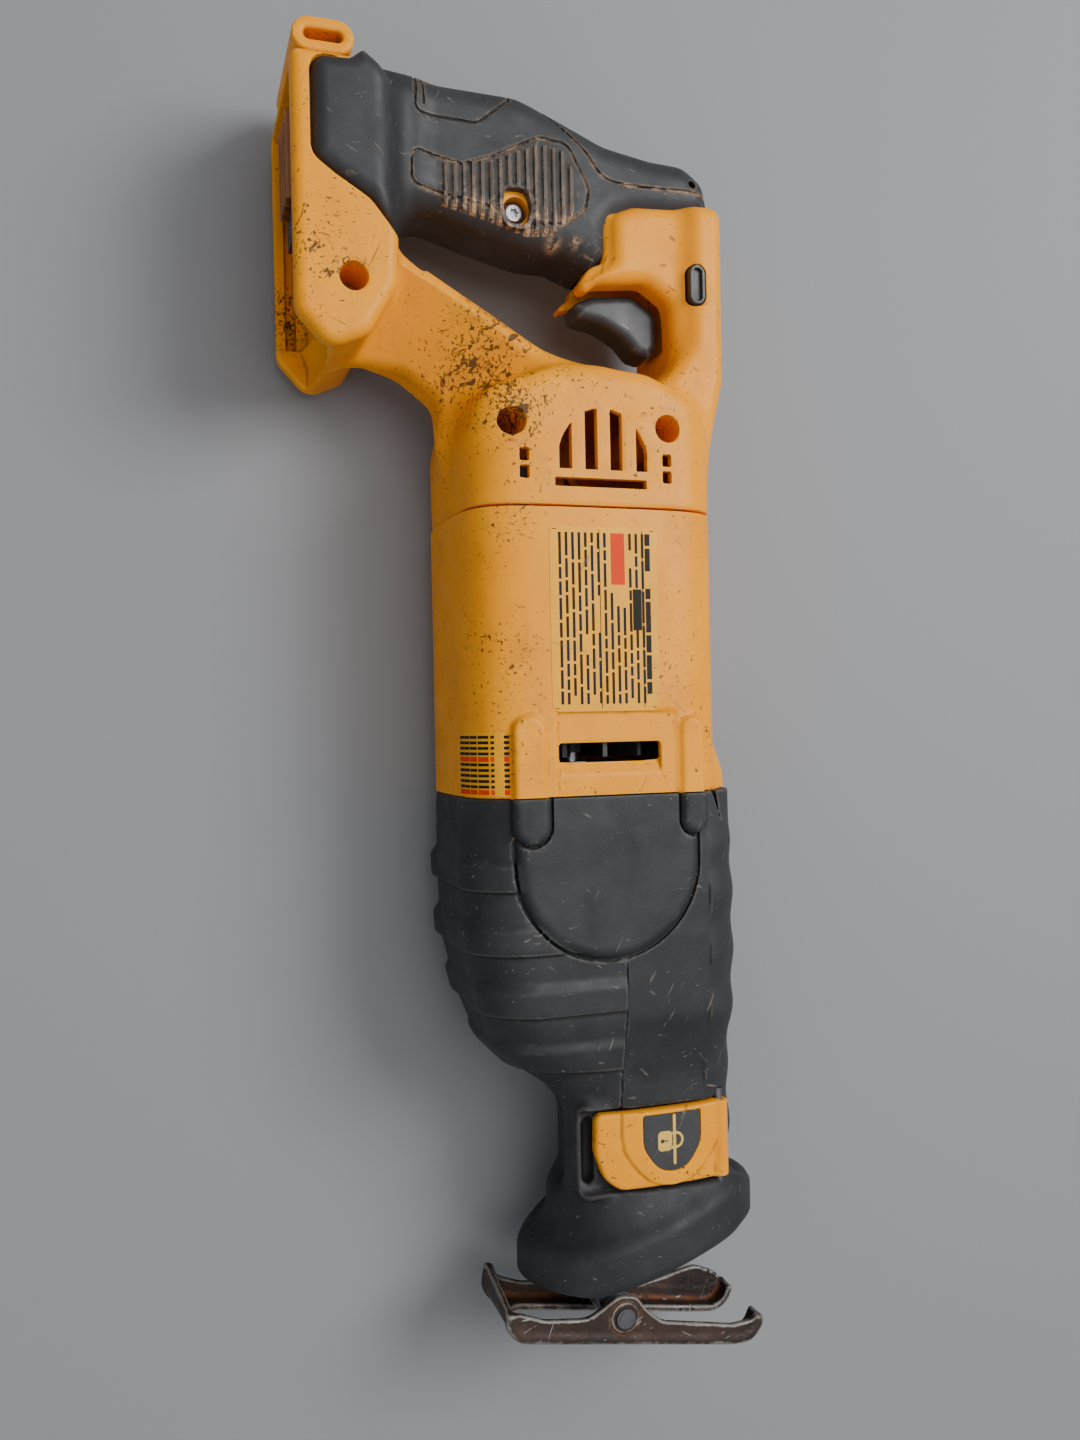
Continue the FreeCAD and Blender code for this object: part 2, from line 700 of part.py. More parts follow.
case_outer_full = case_solid(case_depth, 0.0)
spigot_rear, spigot_half, spigot_radius = size.spigot_rear, size.block_half_width, 40.0
spigot = common(rod("x", spigot_radius, spigot_rear, front_x - spigot_rear, (axis_y, 0)),
                box((spigot_rear, 40), (-far, 2 * far), (-spigot_half, spigot_half)))
case_block = fuse(case_outer_full, spigot)
bearing_wall = spigot_rear + 6.8
case_space = fuse(case_solid(case_depth + wall, -wall),
                  common(rod("x", spigot_radius - wall, bearing_wall, 10, (axis_y, 0)),
                         box((bearing_wall, 40), (-far, 2 * far), (wall - spigot_half, spigot_half - wall))))
bulkheads = common(case_outer_full, fuse(box((86, 98), (-far, 2 * far), (-far, far)),
                                         box((118, 131), (-far, 2 * far), (-far, far))))
case_bolts = {"rear_top": (38, 56), "rear_low": (62, -29), "mid": (108, 58), "low": (108, 2)}
boss_reach = size.block_half_width - case_depth - 1
case_bosses = [rod("z", 4.5, -boss_reach, 2 * boss_reach, spot) for spot in case_bolts.values()]
axle_seat = rod("z", size.axle_radius + 4, -(half - case_depth), 19, (size.gear_x, axis_y))
case_walls = fuse(cut(case_block, case_space), bulkheads, *case_bosses, axle_seat)
plunger_way = rod("x", size.bush_radius, 80, 130, (size.plunger_y, 0))
bearing_bore = rod("x", size.bearing_radius, spigot_rear - 4.8, 13, (axis_y, 0))
axle_low = -(size.block_half_width - case_depth) + wall
axle_hole = rod("z", size.axle_radius, axle_low, 60, (size.gear_x, axis_y))
bolt_holes = [rod("z", 2.2, -20, 60, spot) for spot in case_bolts.values()]
bolt_heads = [rod("z", 4.0, 20, 60, spot) for spot in case_bolts.values()]
nose_mouth = ellipse_slab(size.flange_front - 40, 45, 27, 21.5)
case_pocket = box((size.lever_rear - 0.6, size.lever_front + 0.6),
                  (-20, size.lever_hinge_y + size.knuckle_radius + 1), (size.lever_hinge_z - 3.9, far))
case_full = cut(case_walls, plunger_way, bearing_bore, axle_hole, *bolt_holes, *bolt_heads, nose_mouth,
                case_pocket, lever_pin_hole)
right_side = box((-far, 5 * far), (-2 * far, 2 * far), (seam / 2, 2 * far))
left_side = box((-far, 5 * far), (-2 * far, 2 * far), (-2 * far, -seam / 2))
piece("gear_case_right", common(case_full, right_side))
piece("gear_case_left", common(case_full, left_side))
case_screws = []
for spot in case_bolts.values():
    case_screws.append(fuse(rod("z", 2.1, -18, 38.2, spot), rod("z", 3.6, 20.1, 3.2, spot)))
piece("gear_case_screws", *case_screws)

# ---------------------------------------------------------------------------- drive
module = size.gear_module
gear_radius = module * size.gear_teeth / 2
pinion_radius = module * size.pinion_teeth / 2
gear_top = -(pinion_radius + 1.3 * module)
tooth_tip = -(pinion_radius - 0.85 * module)
face_inner, face_outer = gear_radius - 2.4, gear_radius + 2.4
tooth_pitch = math.pi * float(module)
stub_radius = 2.0
pinion_count = int(float(size.pinion_teeth))
gear_count = int(float(size.gear_teeth))


def tooth_wedge(root_width, tip_width, low, high, length):
    """Return a trapezoidal tooth that points up, running along X from zero."""
    corners = [Vector(0, -root_width / 2, low), Vector(0, root_width / 2, low),
               Vector(0, tip_width / 2, high), Vector(0, -tip_width / 2, high)]
    wire = Part.makePolygon(corners + [corners[0]])
    return Part.Face(wire).extrude(Vector(length, 0, 0))


def drive_gear_shape():
    """Return the face gear: a disc with radial teeth and a crank stub on its upper face."""
    top = float(gear_top)
    centre = Vector(float(size.gear_x), float(axis_y), 0)
    outer_radius = float(face_outer)
    thickness = float(size.gear_thickness)
    disc = Part.makeCylinder(outer_radius, thickness, centre + Vector(0, 0, top - thickness))
    tooth = tooth_wedge(0.50 * tooth_pitch, 0.20 * tooth_pitch, top - 0.2, float(tooth_tip),
                        outer_radius - float(face_inner))
    tooth.translate(Vector(float(face_inner), 0, 0))
    teeth = []
    for index in range(gear_count):
        copy = tooth.copy()
        copy.rotate(Vector(), Vector(0, 0, 1), (index + 0.5) * 360.0 / gear_count)
        copy.translate(centre)
        teeth.append(copy)
    shape = disc.multiFuse(teeth)
    hole = float(size.axle_radius + size.running_gap)
    shape = shape.cut(Part.makeCylinder(hole, 60, centre - Vector(0, 0, 30)))
    stub = Part.makeCylinder(stub_radius, 1.0 - 1.6 - top,
                             Vector(centre.x, centre.y + float(size.crank_radius), top - 0.5))
    return shape.fuse(stub)


def pinion_shape():
    """Return the armature's pinion with straight-sided teeth narrower than their spaces."""
    length = float(size.pinion_length)
    start = float(pinion_rear)
    pitch = float(pinion_radius)
    step = float(module)
    body = Part.makeCylinder(pitch - 1.15 * step, length, Vector(start, 0, 0), Vector(1, 0, 0))
    tooth = tooth_wedge(0.52 * tooth_pitch, 0.17 * tooth_pitch, pitch - 1.5 * step, pitch + 0.85 * step,
                        length)
    tooth.translate(Vector(start, 0, 0))
    teeth = []
    for index in range(pinion_count):
        copy = tooth.copy()
        copy.rotate(Vector(), Vector(1, 0, 0), 180 + index * 360.0 / pinion_count)
        teeth.append(copy)
    shape = body.multiFuse(teeth)
    shape = shape.cut(Part.makeCylinder(float(size.pinion_bore), 40, Vector(start - 5, 0, 0),
                                        Vector(1, 0, 0)))
    shape.translate(Vector(0, float(axis_y), 0))
    return shape


def shaped(name, shape):
    """Return a feature holding a shape made by hand."""
    thing = doc.addObject("Part::Feature", name)
    thing.Shape = shape
    return thing


piece("drive_gear", shaped("face_gear", drive_gear_shape()))
piece("drive_pinion", shaped("pinion_teeth_body", pinion_shape()))
piece("gear_axle", rod("z", size.axle_radius, axle_low, gear_top - 0.3 - axle_low, (size.gear_x, axis_y)))
crank_y = axis_y + size.crank_radius
roller_low, roller_high = gear_top + 0.3, -1.6
piece("crank_roller", ring("z", size.roller_radius, stub_radius + size.running_gap, roller_low,
                           roller_high - roller_low, (size.gear_x, crank_y)))

yoke_low, yoke_high = -1.0, 5.0
yoke_half = size.roller_radius + 3
slot_end = size.crank_radius + size.roller_radius + 0.6
yoke_plate = box((size.gear_x - yoke_half, size.gear_x + yoke_half),
                 (axis_y - slot_end - 4, size.plunger_y + size.plunger_radius), (yoke_low, yoke_high))
arm_half = size.plunger_radius * 0.68
yoke_arm = box((size.gear_x + yoke_half - 1, 84), (size.plunger_y - arm_half, size.plunger_y + arm_half),
               (yoke_low, size.plunger_radius * 0.64))
plunger_rod = rod("x", size.plunger_radius, 82, size.plunger_front - 82, (size.plunger_y, 0))
yoke_slot = box((size.gear_x - size.roller_radius - 0.1, size.gear_x + size.roller_radius + 0.1),
                (axis_y - slot_end, axis_y + slot_end), (-2, 6))
blade_slot = box((size.plunger_front - 20, size.plunger_front + 1),
                 (size.plunger_y - 6.2, size.plunger_y + 6.2), (-0.9, 0.9))
clamp_pin_hole = rod("z", 2.0, -20, 40, (size.clamp_rear + 12, size.plunger_y))
piece("plunger", cut(fuse(yoke_plate, yoke_arm, plunger_rod), yoke_slot, blade_slot, clamp_pin_hole))
bush_inner = size.plunger_radius + size.running_gap
piece("plunger_bushes", ring("x", size.bush_radius - 0.05, bush_inner, 86, 12, (size.plunger_y, 0)),
      ring("x", size.bush_radius - 0.05, bush_inner, 118, 9.6, (size.plunger_y, 0)))
piece("plunger_seal", ring("x", size.bush_radius - 0.05, bush_inner, 127.8, 3, (size.plunger_y, 0)))
collar_ring = ring("x", size.clamp_radius, size.plunger_radius + 0.15, size.clamp_rear, size.clamp_length,
                   (size.plunger_y, 0))
piece("blade_clamp", cut(collar_ring, clamp_pin_hole))
piece("clamp_pin", rod("z", 1.9, -(size.clamp_radius - 0.5), 2 * size.clamp_radius - 1,
                       (size.clamp_rear + 12, size.plunger_y)))

# ---------------------------------------------------------------------------- clamp lever
lever_low = size.lever_hinge_z - 2
lever_top = lever_low + size.lever_thickness + 1
lever_plate = box((size.lever_rear, size.lever_front), (size.lever_tip, size.lever_hinge_y),
                  (lever_low + 1, lever_top + 1))
knuckle = rod("x", size.knuckle_radius, size.lever_rear, lever_width, hinge_line)
lever_bore = rod("x", size.lever_pin_radius + size.running_gap, size.lever_rear - 2, lever_width + 4,
                 hinge_line)
badge_seat = pad([(142, 28, 3), (160, 24, 12), (160, 52, 12), (142, 50, 3)], lever_top + 0.4, far)
piece("clamp_lever", cut(fuse(lever_plate, knuckle), lever_bore, badge_seat))
piece("lever_badge", pad([(142.2, 28.2, 3), (159.8, 24.2, 12), (159.8, 51.8, 12), (142.2, 49.8, 3)],
                         lever_top + 0.45, lever_top + 1.2))
piece("lever_pin", rod("x", size.lever_pin_radius, size.lever_rear - 3.8, lever_width + 7.6, hinge_line))

# ---------------------------------------------------------------------------- shoe
pivot = (size.pivot_x, size.pivot_y)
post_half = size.shoe_half_width - size.shoe_sheet - size.body_gap
post_bar = pad([(150, 12, 1), (200, 12, 8), (size.pivot_x, 16, 2), (size.pivot_x, 26, 2), (204, 24, 6),
                (194, 17, 8), (150, 17, 1)], -size.post_half_width, size.post_half_width)
post_head = rod("z", 6, -post_half, 2 * post_half, pivot)
post_bore = rod("z", size.pivot_radius + size.running_gap, -far, 2 * far, pivot)
piece("shoe_post", cut(fuse(post_bar, post_head), post_bore))


def shoe_profile(front, back):
    """Outline of a cheek, square to the tool, about the pivot."""
    x, y = size.pivot_x, size.pivot_y
    return [(x - 17.5, y - 57, 2), (x - 20, y - 53, 2), (x + back - 4, y - 40, 10), (x + back, y - 30, 8),
            (x + back - 1, y - 13, 8), (x - 7.5, y - 5, 6), (x - 7.5, y + 5, 6), (x + back, y + 14, 8),
            (x + back + 1, y + 48, 3), (x - 1, y + 54, 1), (x + 0.5, y + 56.5, 1.2), (x + front, y + 52, 5),
            (x + front, y - 38, 12), (x + front - 6, y - 47, 12)]


def sheet_fold():
    """Outline of the sheet that folds across the front and the closed lower end."""
    x, y = size.pivot_x, size.pivot_y
    return [(x - 17.5, y - 57, 1), (x - 20, y - 53, 1), (x - 17.5, y - 53.4, 0), (x + 2.5, y - 44.6, 8),
            (x + 6.8, y - 37.5, 9), (x + 6.8, y + 51, 3), (x - 0.8, y + 54, 0.6), (x + 0.5, y + 56.5, 1),
            (x + 9.3, y + 52, 5), (x + 9.3, y - 38, 12), (x + 3.3, y - 47, 12)]


def shoe_solid():
    """Return the stamped shoe: two cheeks and a folded front that is slotted for the blade."""
    edge = size.shoe_half_width
    cheeks = []
    profile = outline(shoe_profile(9.3, 1.0))
    cheeks.append(slab(profile, edge - size.shoe_sheet, edge))
    cheeks.append(slab(profile, -edge, -(edge - size.shoe_sheet)))
    front = slab(outline(sheet_fold()), -edge, edge)
    slot = box((size.pivot_x - 3, size.pivot_x + 12), (size.pivot_y - 36, size.pivot_y + 60),
               (-size.shoe_slot_half, size.shoe_slot_half))
    bore_hole = rod("z", size.pivot_radius, -far, 2 * far, pivot)
    return cut(fuse(cut(front, slot), *cheeks), bore_hole)


def turned_piece(label, thing):
    """Finish a sub-part that rests turned about the shoe's pivot."""
    group = doc.addObject("Part::Compound", unique("square_" + label))
    group.Links = [thing]
    centred = doc.addObject("Part::Compound", unique("centred_" + label))
    centred.Links = [group]
    locate(group, -size.pivot_x, -size.pivot_y, 0)
    turn = doc.addObject("Part::Compound", unique("turned_" + label))
    turn.Links = [centred]
    turn.Placement = FreeCAD.Placement(Vector(), FreeCAD.Rotation(Vector(0, 0, 1), float(size.shoe_angle)))
    bind(turn, **{"Placement.Base.x": size.pivot_x, "Placement.Base.y": size.pivot_y})
    piece(label, turn)


turned_piece("shoe", shoe_solid())
pin_end = size.shoe_half_width + 1.6
shoe_pin = fuse(rod("z", size.pivot_radius, -pin_end, 2 * pin_end, pivot),
                rod("z", size.pivot_radius + 1, size.shoe_half_width + 0.1, 1.2, pivot),
                rod("z", size.pivot_radius + 1, -size.shoe_half_width - 1.3, 1.2, pivot))
piece("shoe_pivot_pin", shoe_pin)

# ---------------------------------------------------------------------------- check and write
doc.recompute()
faults = []
for thing in doc.Objects:
    if "Invalid" in thing.State or "Error" in thing.State:
        faults.append("%s: %s" % (thing.Label, thing.State))
for label, thing in pieces.items():
    if thing.Shape.isNull() or not thing.Shape.isValid() or not thing.Shape.Solids:
        faults.append("%s: no valid solid" % label)
if faults:
    raise RuntimeError("; ".join(faults))
os.makedirs("parts", exist_ok=True)
whole = FreeCAD.BoundBox()
for label, thing in pieces.items():
    thing.Shape.exportStep(os.path.join("parts", label + ".step"))
    whole.add(thing.Shape.BoundBox)
    print("%-22s %2d solids %10.1f mm3" % (label, len(thing.Shape.Solids), thing.Shape.Volume))
print("box", whole)
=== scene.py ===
"""Looks of a cordless reciprocating saw, built around its packed design model.

Every visible moulding is described by a signed distance field in millimetres, in the tool's own
axes: x runs forward to the shoe, y up through the tool, z across it from the casing's seam.  The
fields are turned into closed meshes, placed in the design's frame and dressed with procedural
materials.
"""
import json
import logging
import math
from dataclasses import dataclass, field, replace
from enum import Enum
from functools import partial, reduce
from typing import Callable, Optional, Sequence

import bpy
import numpy as np
from mathutils import Matrix, Vector


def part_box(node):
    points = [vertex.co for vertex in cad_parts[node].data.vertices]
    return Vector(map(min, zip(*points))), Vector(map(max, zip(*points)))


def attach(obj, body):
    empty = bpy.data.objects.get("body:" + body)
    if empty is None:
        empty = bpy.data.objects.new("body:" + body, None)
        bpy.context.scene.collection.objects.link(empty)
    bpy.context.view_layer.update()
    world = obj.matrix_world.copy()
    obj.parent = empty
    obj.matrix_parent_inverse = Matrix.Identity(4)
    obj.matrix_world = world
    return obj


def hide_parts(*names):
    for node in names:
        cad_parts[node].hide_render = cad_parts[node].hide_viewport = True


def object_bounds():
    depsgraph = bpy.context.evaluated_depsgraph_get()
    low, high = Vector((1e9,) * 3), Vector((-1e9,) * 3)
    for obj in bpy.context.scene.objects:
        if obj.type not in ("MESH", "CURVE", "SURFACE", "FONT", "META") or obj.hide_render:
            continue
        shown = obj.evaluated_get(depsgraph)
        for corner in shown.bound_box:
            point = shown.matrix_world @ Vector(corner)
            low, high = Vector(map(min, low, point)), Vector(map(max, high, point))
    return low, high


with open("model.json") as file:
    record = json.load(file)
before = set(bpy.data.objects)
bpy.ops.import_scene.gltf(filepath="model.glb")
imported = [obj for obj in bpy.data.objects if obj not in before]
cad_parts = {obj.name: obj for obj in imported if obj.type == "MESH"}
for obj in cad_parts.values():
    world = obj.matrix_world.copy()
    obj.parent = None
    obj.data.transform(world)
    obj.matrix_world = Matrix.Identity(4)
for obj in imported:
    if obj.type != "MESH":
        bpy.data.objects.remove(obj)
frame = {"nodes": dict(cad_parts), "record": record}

LOG = logging.getLogger("saw")
CAD_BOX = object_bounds()
MM = 0.001
Array = np.ndarray
Point = tuple[float, float]
Corner = tuple[float, float, float]
FieldFunction = Callable[[Array, Array, Array], Array]
Measure = FieldFunction


@dataclass(frozen=True)
class Datum:
    """Where the design's own origin lies in the frame, in metres."""

    x: float
    y: float
    z: float

    @classmethod
    def from_frame(cls) -> "Datum":
        """Read the datum from the motor housing's front face and the armature's axis."""
        housing_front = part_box("motor_housing")[1][0]
        low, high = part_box("armature_shaft")
        return cls(housing_front - 26 * MM, (low[1] + high[1]) / 2 - 11.5 * MM, (low[2] + high[2]) / 2)

    def place(self, points: Array) -> Array:
        """Return points in millimetres moved into the frame."""
        return points * MM + np.array([self.x, self.y, self.z])


DATUM = Datum.from_frame()


# ------------------------------------------------------------------ signed distance fields
def rounded_outline(corners: Sequence[Corner], arc_step: float = 0.35) -> Array:
    """Return the points of a closed outline whose corners are tangent arcs.

    Args:
        corners: (x, y, radius) of each corner, in order.
        arc_step: angle between neighbouring points of an arc, in radians.

    Returns:
        The outline's points, one row each.
    """
    points = []
    count = len(corners)
    for index, (x, y, radius) in enumerate(corners):
        here = np.array([x, y], float)
        before = np.array(corners[index - 1][:2], float)
        after = np.array(corners[(index + 1) % count][:2], float)
        back = (before - here) / np.linalg.norm(before - here)
        ahead = (after - here) / np.linalg.norm(after - here)
        turn = math.acos(float(np.clip(back @ ahead, -1, 1)))
        if radius <= 0 or math.pi - turn < 0.02:
            points.append(here)
            continue
        room = 0.48 * min(np.linalg.norm(before - here), np.linalg.norm(after - here))
        reach = min(radius / math.tan(turn / 2), room)
        radius = reach * math.tan(turn / 2)
        middle = (back + ahead) / np.linalg.norm(back + ahead)
        centre = here + middle * radius / math.sin(turn / 2)
        start = here + back * reach - centre
        sweep = math.pi - turn
        side = -1.0 if back[0] * ahead[1] - back[1] * ahead[0] > 0 else 1.0
        steps = max(2, int(math.ceil(sweep / arc_step)))
        for step in range(steps + 1):
            angle = side * sweep * step / steps
            cosine, sine = math.cos(angle), math.sin(angle)
            points.append(centre + np.array([cosine * start[0] - sine * start[1],
                                             sine * start[0] + cosine * start[1]]))
    return np.array(points)


def distance_to_path(x: Array, y: Array, path: Array, closed: bool) -> Array:
    """Return the distance to a path, signed (negative inside) where the path is closed."""
    x, y = np.broadcast_arrays(np.asarray(x, np.float32), np.asarray(y, np.float32))
    best = np.full(x.shape, np.inf, np.float32)
    inside = np.zeros(x.shape, bool)
    count = len(path)
    for index in range(count if closed else count - 1):
        ax, ay = (float(value) for value in path[index])
        bx, by = (float(value) for value in path[(index + 1) % count])
        ex, ey = bx - ax, by - ay
        length = ex * ex + ey * ey
        if length < 1e-12:
            continue
        wx, wy = x - ax, y - ay
        share = np.clip((wx * ex + wy * ey) / length, 0, 1)
        best = np.minimum(best, (wx - ex * share) ** 2 + (wy - ey * share) ** 2)
        if closed and abs(ey) > 1e-12:
            crosses = ((ay > y) != (by > y)) & (x < ax + (y - ay) * ex / ey)
            inside ^= crosses
    distance = np.sqrt(best)
    return np.where(inside, -distance, distance) if closed else distance


class Profile:
    """The signed distance to an outline or an open path, looked up from a fine grid."""

    STEP = 0.5

    def __init__(self, path: Array, closed: bool = True, margin: float = 50.0) -> None:
        """Fill the grid around the path."""
        self.low = path.min(axis=0) - margin
        high = path.max(axis=0) + margin
        counts = np.ceil((high - self.low) / self.STEP).astype(int) + 2
        xs = self.low[0] + self.STEP * np.arange(counts[0])
        ys = self.low[1] + self.STEP * np.arange(counts[1])
        self.table = distance_to_path(xs[:, None], ys[None, :], path, closed)

    def __call__(self, x: Array, y: Array) -> Array:
        """Return the distance at each place, by bilinear interpolation."""
        x, y = np.broadcast_arrays(x, y)
        u = np.clip((x - self.low[0]) / self.STEP, 0, self.table.shape[0] - 1.001)
        v = np.clip((y - self.low[1]) / self.STEP, 0, self.table.shape[1] - 1.001)
        i, j = u.astype(np.int32), v.astype(np.int32)
        a, b = (u - i).astype(np.float32), (v - j).astype(np.float32)
        grid = self.table
        low = grid[i, j] * (1 - a) + grid[i + 1, j] * a
        high = grid[i, j + 1] * (1 - a) + grid[i + 1, j + 1] * a
        return low * (1 - b) + high * b


def outline(*corners: Corner) -> Profile:
    """Return the profile of a closed, rounded outline."""
    return Profile(rounded_outline(corners))


def smooth_path(*knots: Point, samples: int = 8) -> Array:
    """Return an open curve through the knots (Catmull-Rom)."""
    points = [np.array(knot, float) for knot in knots]
    points = [2 * points[0] - points[1], *points, 2 * points[-1] - points[-2]]
    curve = []
    for index in range(1, len(points) - 2):
        a, b, c, d = points[index - 1:index + 3]
        for step in range(samples):
            t = step / samples
            curve.append(0.5 * (2 * b + (c - a) * t + (2 * a - 5 * b + 4 * c - d) * t ** 2
                                + (3 * b - a - 3 * c + d) * t ** 3))
    curve.append(points[-2])
    return np.array(curve)


def union(a: Array, b: Array, blend: float = 0.0) -> Array:
    """Join two fields, with a fillet of about the blend's size between them."""
    if blend <= 0:
        return np.minimum(a, b)
    share = np.maximum(blend - np.abs(a - b), 0) / blend
    return np.minimum(a, b) - share * share * blend * 0.25


def meet(a: Array, b: Array, blend: float = 0.0) -> Array:
    """Keep what two fields share, with a rounded edge of about the blend's size."""
    return -union(-a, -b, blend)


def carve(a: Array, tool: Array, blend: float = 0.0) -> Array:
    """Cut a tool out of a field."""
    return meet(a, -tool, blend)


def cut(whole: Array, *tools: tuple[Array, float]) -> Array:
    """Cut several tools out of a field in turn, each with its own blend."""
    return reduce(lambda body, tool: carve(body, *tool), tools, whole)


def common(*fields: Array) -> Array:
    """Return what several fields share, with sharp edges."""
    return reduce(np.maximum, fields)


def away(x: Array, y: Array, centre_x: float, centre_y: float) -> Array:
    """Return the distance from an upright axis."""
    return np.sqrt((x - centre_x) ** 2 + (y - centre_y) ** 2)


def plate(flat: Array, height: Array, radius: float) -> Array:
    """Return an extruded outline with rounded edges.

    Args:
        flat: signed distance in the outline's plane.
        height: signed distance past the slab's faces.
        radius: the radius of its edges.
    """
    a, b = flat + radius, height + radius
    outside = np.sqrt(np.maximum(a, 0) ** 2 + np.maximum(b, 0) ** 2)
    return outside + np.minimum(np.maximum(a, b), 0) - radius


def ramp(value: Array, start: float, end: float) -> Array:
    """Return a smooth step from 0 at start to 1 at end."""
    share = np.clip((value - start) / (end - start), 0, 1)
    return share * share * (3 - 2 * share)


def block(x: Array, y: Array, z: Array, low: Sequence[float], high: Sequence[float],
          radius: float = 0.0) -> Array:
    """Return a box with rounded edges."""
    terms = []
    for value, start, end in zip((x, y, z), low, high):
        terms.append(np.abs(value - (start + end) / 2) - (end - start) / 2 + radius)
    outside = np.sqrt(sum(np.maximum(term, 0) ** 2 for term in terms))
    inside = np.minimum(common(terms[0], terms[1], terms[2]), 0)
    return outside + inside - radius


# ------------------------------------------------------------------ meshing
@dataclass
class Mesher:
    """Turns a field into a closed mesh that keeps its creases."""

    step: float = 1.0
    probe: float = 0.12
    pull: float = 0.08

    def slopes(self, shape: FieldFunction, points: Array) -> Array:
        """Return the field's unit gradient at each point."""
        result = np.empty_like(points)
        for axis in range(3):
            shift = np.zeros(3)
            shift[axis] = self.probe
            ahead, behind = points + shift, points - shift
            result[:, axis] = shape(*ahead.T) - shape(*behind.T)
        return result / np.maximum(np.linalg.norm(result, axis=1, keepdims=True), 1e-9)

    def sample(self, shape: FieldFunction, low: Sequence[float], high: Sequence[float]) -> tuple:
        """Return the grid's axes and the field on it."""
        axes = [np.arange(start, end + self.step, self.step, dtype=np.float32)
                for start, end in zip(low, high)]
        grid = shape(axes[0][:, None, None], axes[1][None, :, None], axes[2][None, None, :])
        full = tuple(len(axis) for axis in axes)
        return axes, np.ascontiguousarray(np.broadcast_to(grid, full)).astype(np.float32)

    def mesh(self, shape: FieldFunction, low: Sequence[float], high: Sequence[float]) -> tuple:
        """Return the vertices and quads of the field's surface inside a box."""
        axes, grid = self.sample(shape, low, high)
        negative = grid < 0
        counts = np.array(grid.shape)
        strides = np.array([counts[1] * counts[2], counts[2], 1])
        crossings, cells, quads = [], [], []
        for axis in range(3):
            ahead = [slice(None)] * 3
            behind = [slice(None)] * 3
            ahead[axis], behind[axis] = slice(1, None), slice(None, -1)
            changed = np.argwhere(negative[tuple(behind)] != negative[tuple(ahead)])
            others = [item for item in range(3) if item != axis]
            keep = np.all((changed[:, others] >= 1) & (changed[:, others] < counts[others] - 1), axis=1)
            changed = changed[keep]
            after = changed.copy()
            after[:, axis] += 1
            near = grid[tuple(changed.T)]
            past = grid[tuple(after.T)]
            share = near / (near - past)
            spot = np.stack([axes[item][changed[:, item]] for item in range(3)], axis=1).astype(float)
            spot[:, axis] += share * self.step
            corner = []
            for first, second in ((1, 1), (0, 1), (0, 0), (1, 0)):
                cell = changed.copy()
                cell[:, others[0]] -= first
                cell[:, others[1]] -= second
                corner.append(cell @ strides)
            ring = np.stack(corner, axis=1)
            flip = (near < 0) if axis != 1 else (near >= 0)
            quads.append(np.where(flip[:, None], ring, ring[:, ::-1]))
            crossings.append(spot)
            cells.append(ring)
        spots = np.concatenate(crossings)
        rings = np.concatenate(cells)
        faces = np.concatenate(quads)
        used, lookup = np.unique(rings, return_inverse=True)
        lookup = lookup.reshape(rings.shape)
        normals = self.slopes(shape, spots)
        total = len(used)
        weight = np.zeros(total)
        mass = np.zeros((total, 3))
        square = np.zeros((total, 3, 3))
        target = np.zeros((total, 3))
        outer = normals[:, :, None] * normals[:, None, :]
        offset = np.einsum("ij,ij->i", normals, spots)
        for place in range(4):
            cell = lookup[:, place]
            weight += np.bincount(cell, minlength=total)
            for first in range(3):
                mass[:, first] += np.bincount(cell, spots[:, first], total)
                target[:, first] += np.bincount(cell, normals[:, first] * offset, total)
                for second in range(3):
                    square[:, first, second] += np.bincount(cell, outer[:, first, second], total)
        mass /= weight[:, None]
        right = target - np.einsum("ijk,ik->ij", square, mass)
        square += np.eye(3) * (self.pull * weight)[:, None, None]
        vertices = mass + np.linalg.solve(square, right[:, :, None])[:, :, 0]
        index = np.stack([used // strides[0], used % strides[0] // strides[1], used % strides[1]], axis=1)
        lowest = np.stack([axes[item][index[:, item]] for item in range(3)], axis=1)
        vertices = np.clip(vertices, lowest - 0.1 * self.step, lowest + 1.1 * self.step)
        order = np.searchsorted(used, faces.ravel()).reshape(faces.shape)
        return vertices, order


def new_object(name: str, vertices: Array, faces: Array, sharp_degrees: float = 38.0) -> bpy.types.Object:
    """Make a mesh object in the frame from vertices in millimetres.

    Args:
        name: the piece's name.
        vertices: points in the tool's axes.
        faces: quads as rows of vertex indices.
        sharp_degrees: edges that turn more than this stay crisp.
    """
    mesh = bpy.data.meshes.new(name)
    placed = DATUM.place(vertices).astype(np.float32)
    mesh.vertices.add(len(placed))
    mesh.vertices.foreach_set("co", placed.ravel())
    mesh.loops.add(faces.size)
    mesh.loops.foreach_set("vertex_index", faces.astype(np.int32).ravel())
    mesh.polygons.add(len(faces))
    mesh.polygons.foreach_set("loop_start", np.arange(len(faces), dtype=np.int32) * faces.shape[1])
    mesh.update(calc_edges=True)
    mesh.validate()
    mesh.shade_smooth()
    mesh.set_sharp_from_angle(angle=math.radians(sharp_degrees))
    thing = bpy.data.objects.new(name, mesh)
    bpy.context.scene.collection.objects.link(thing)
    return thing


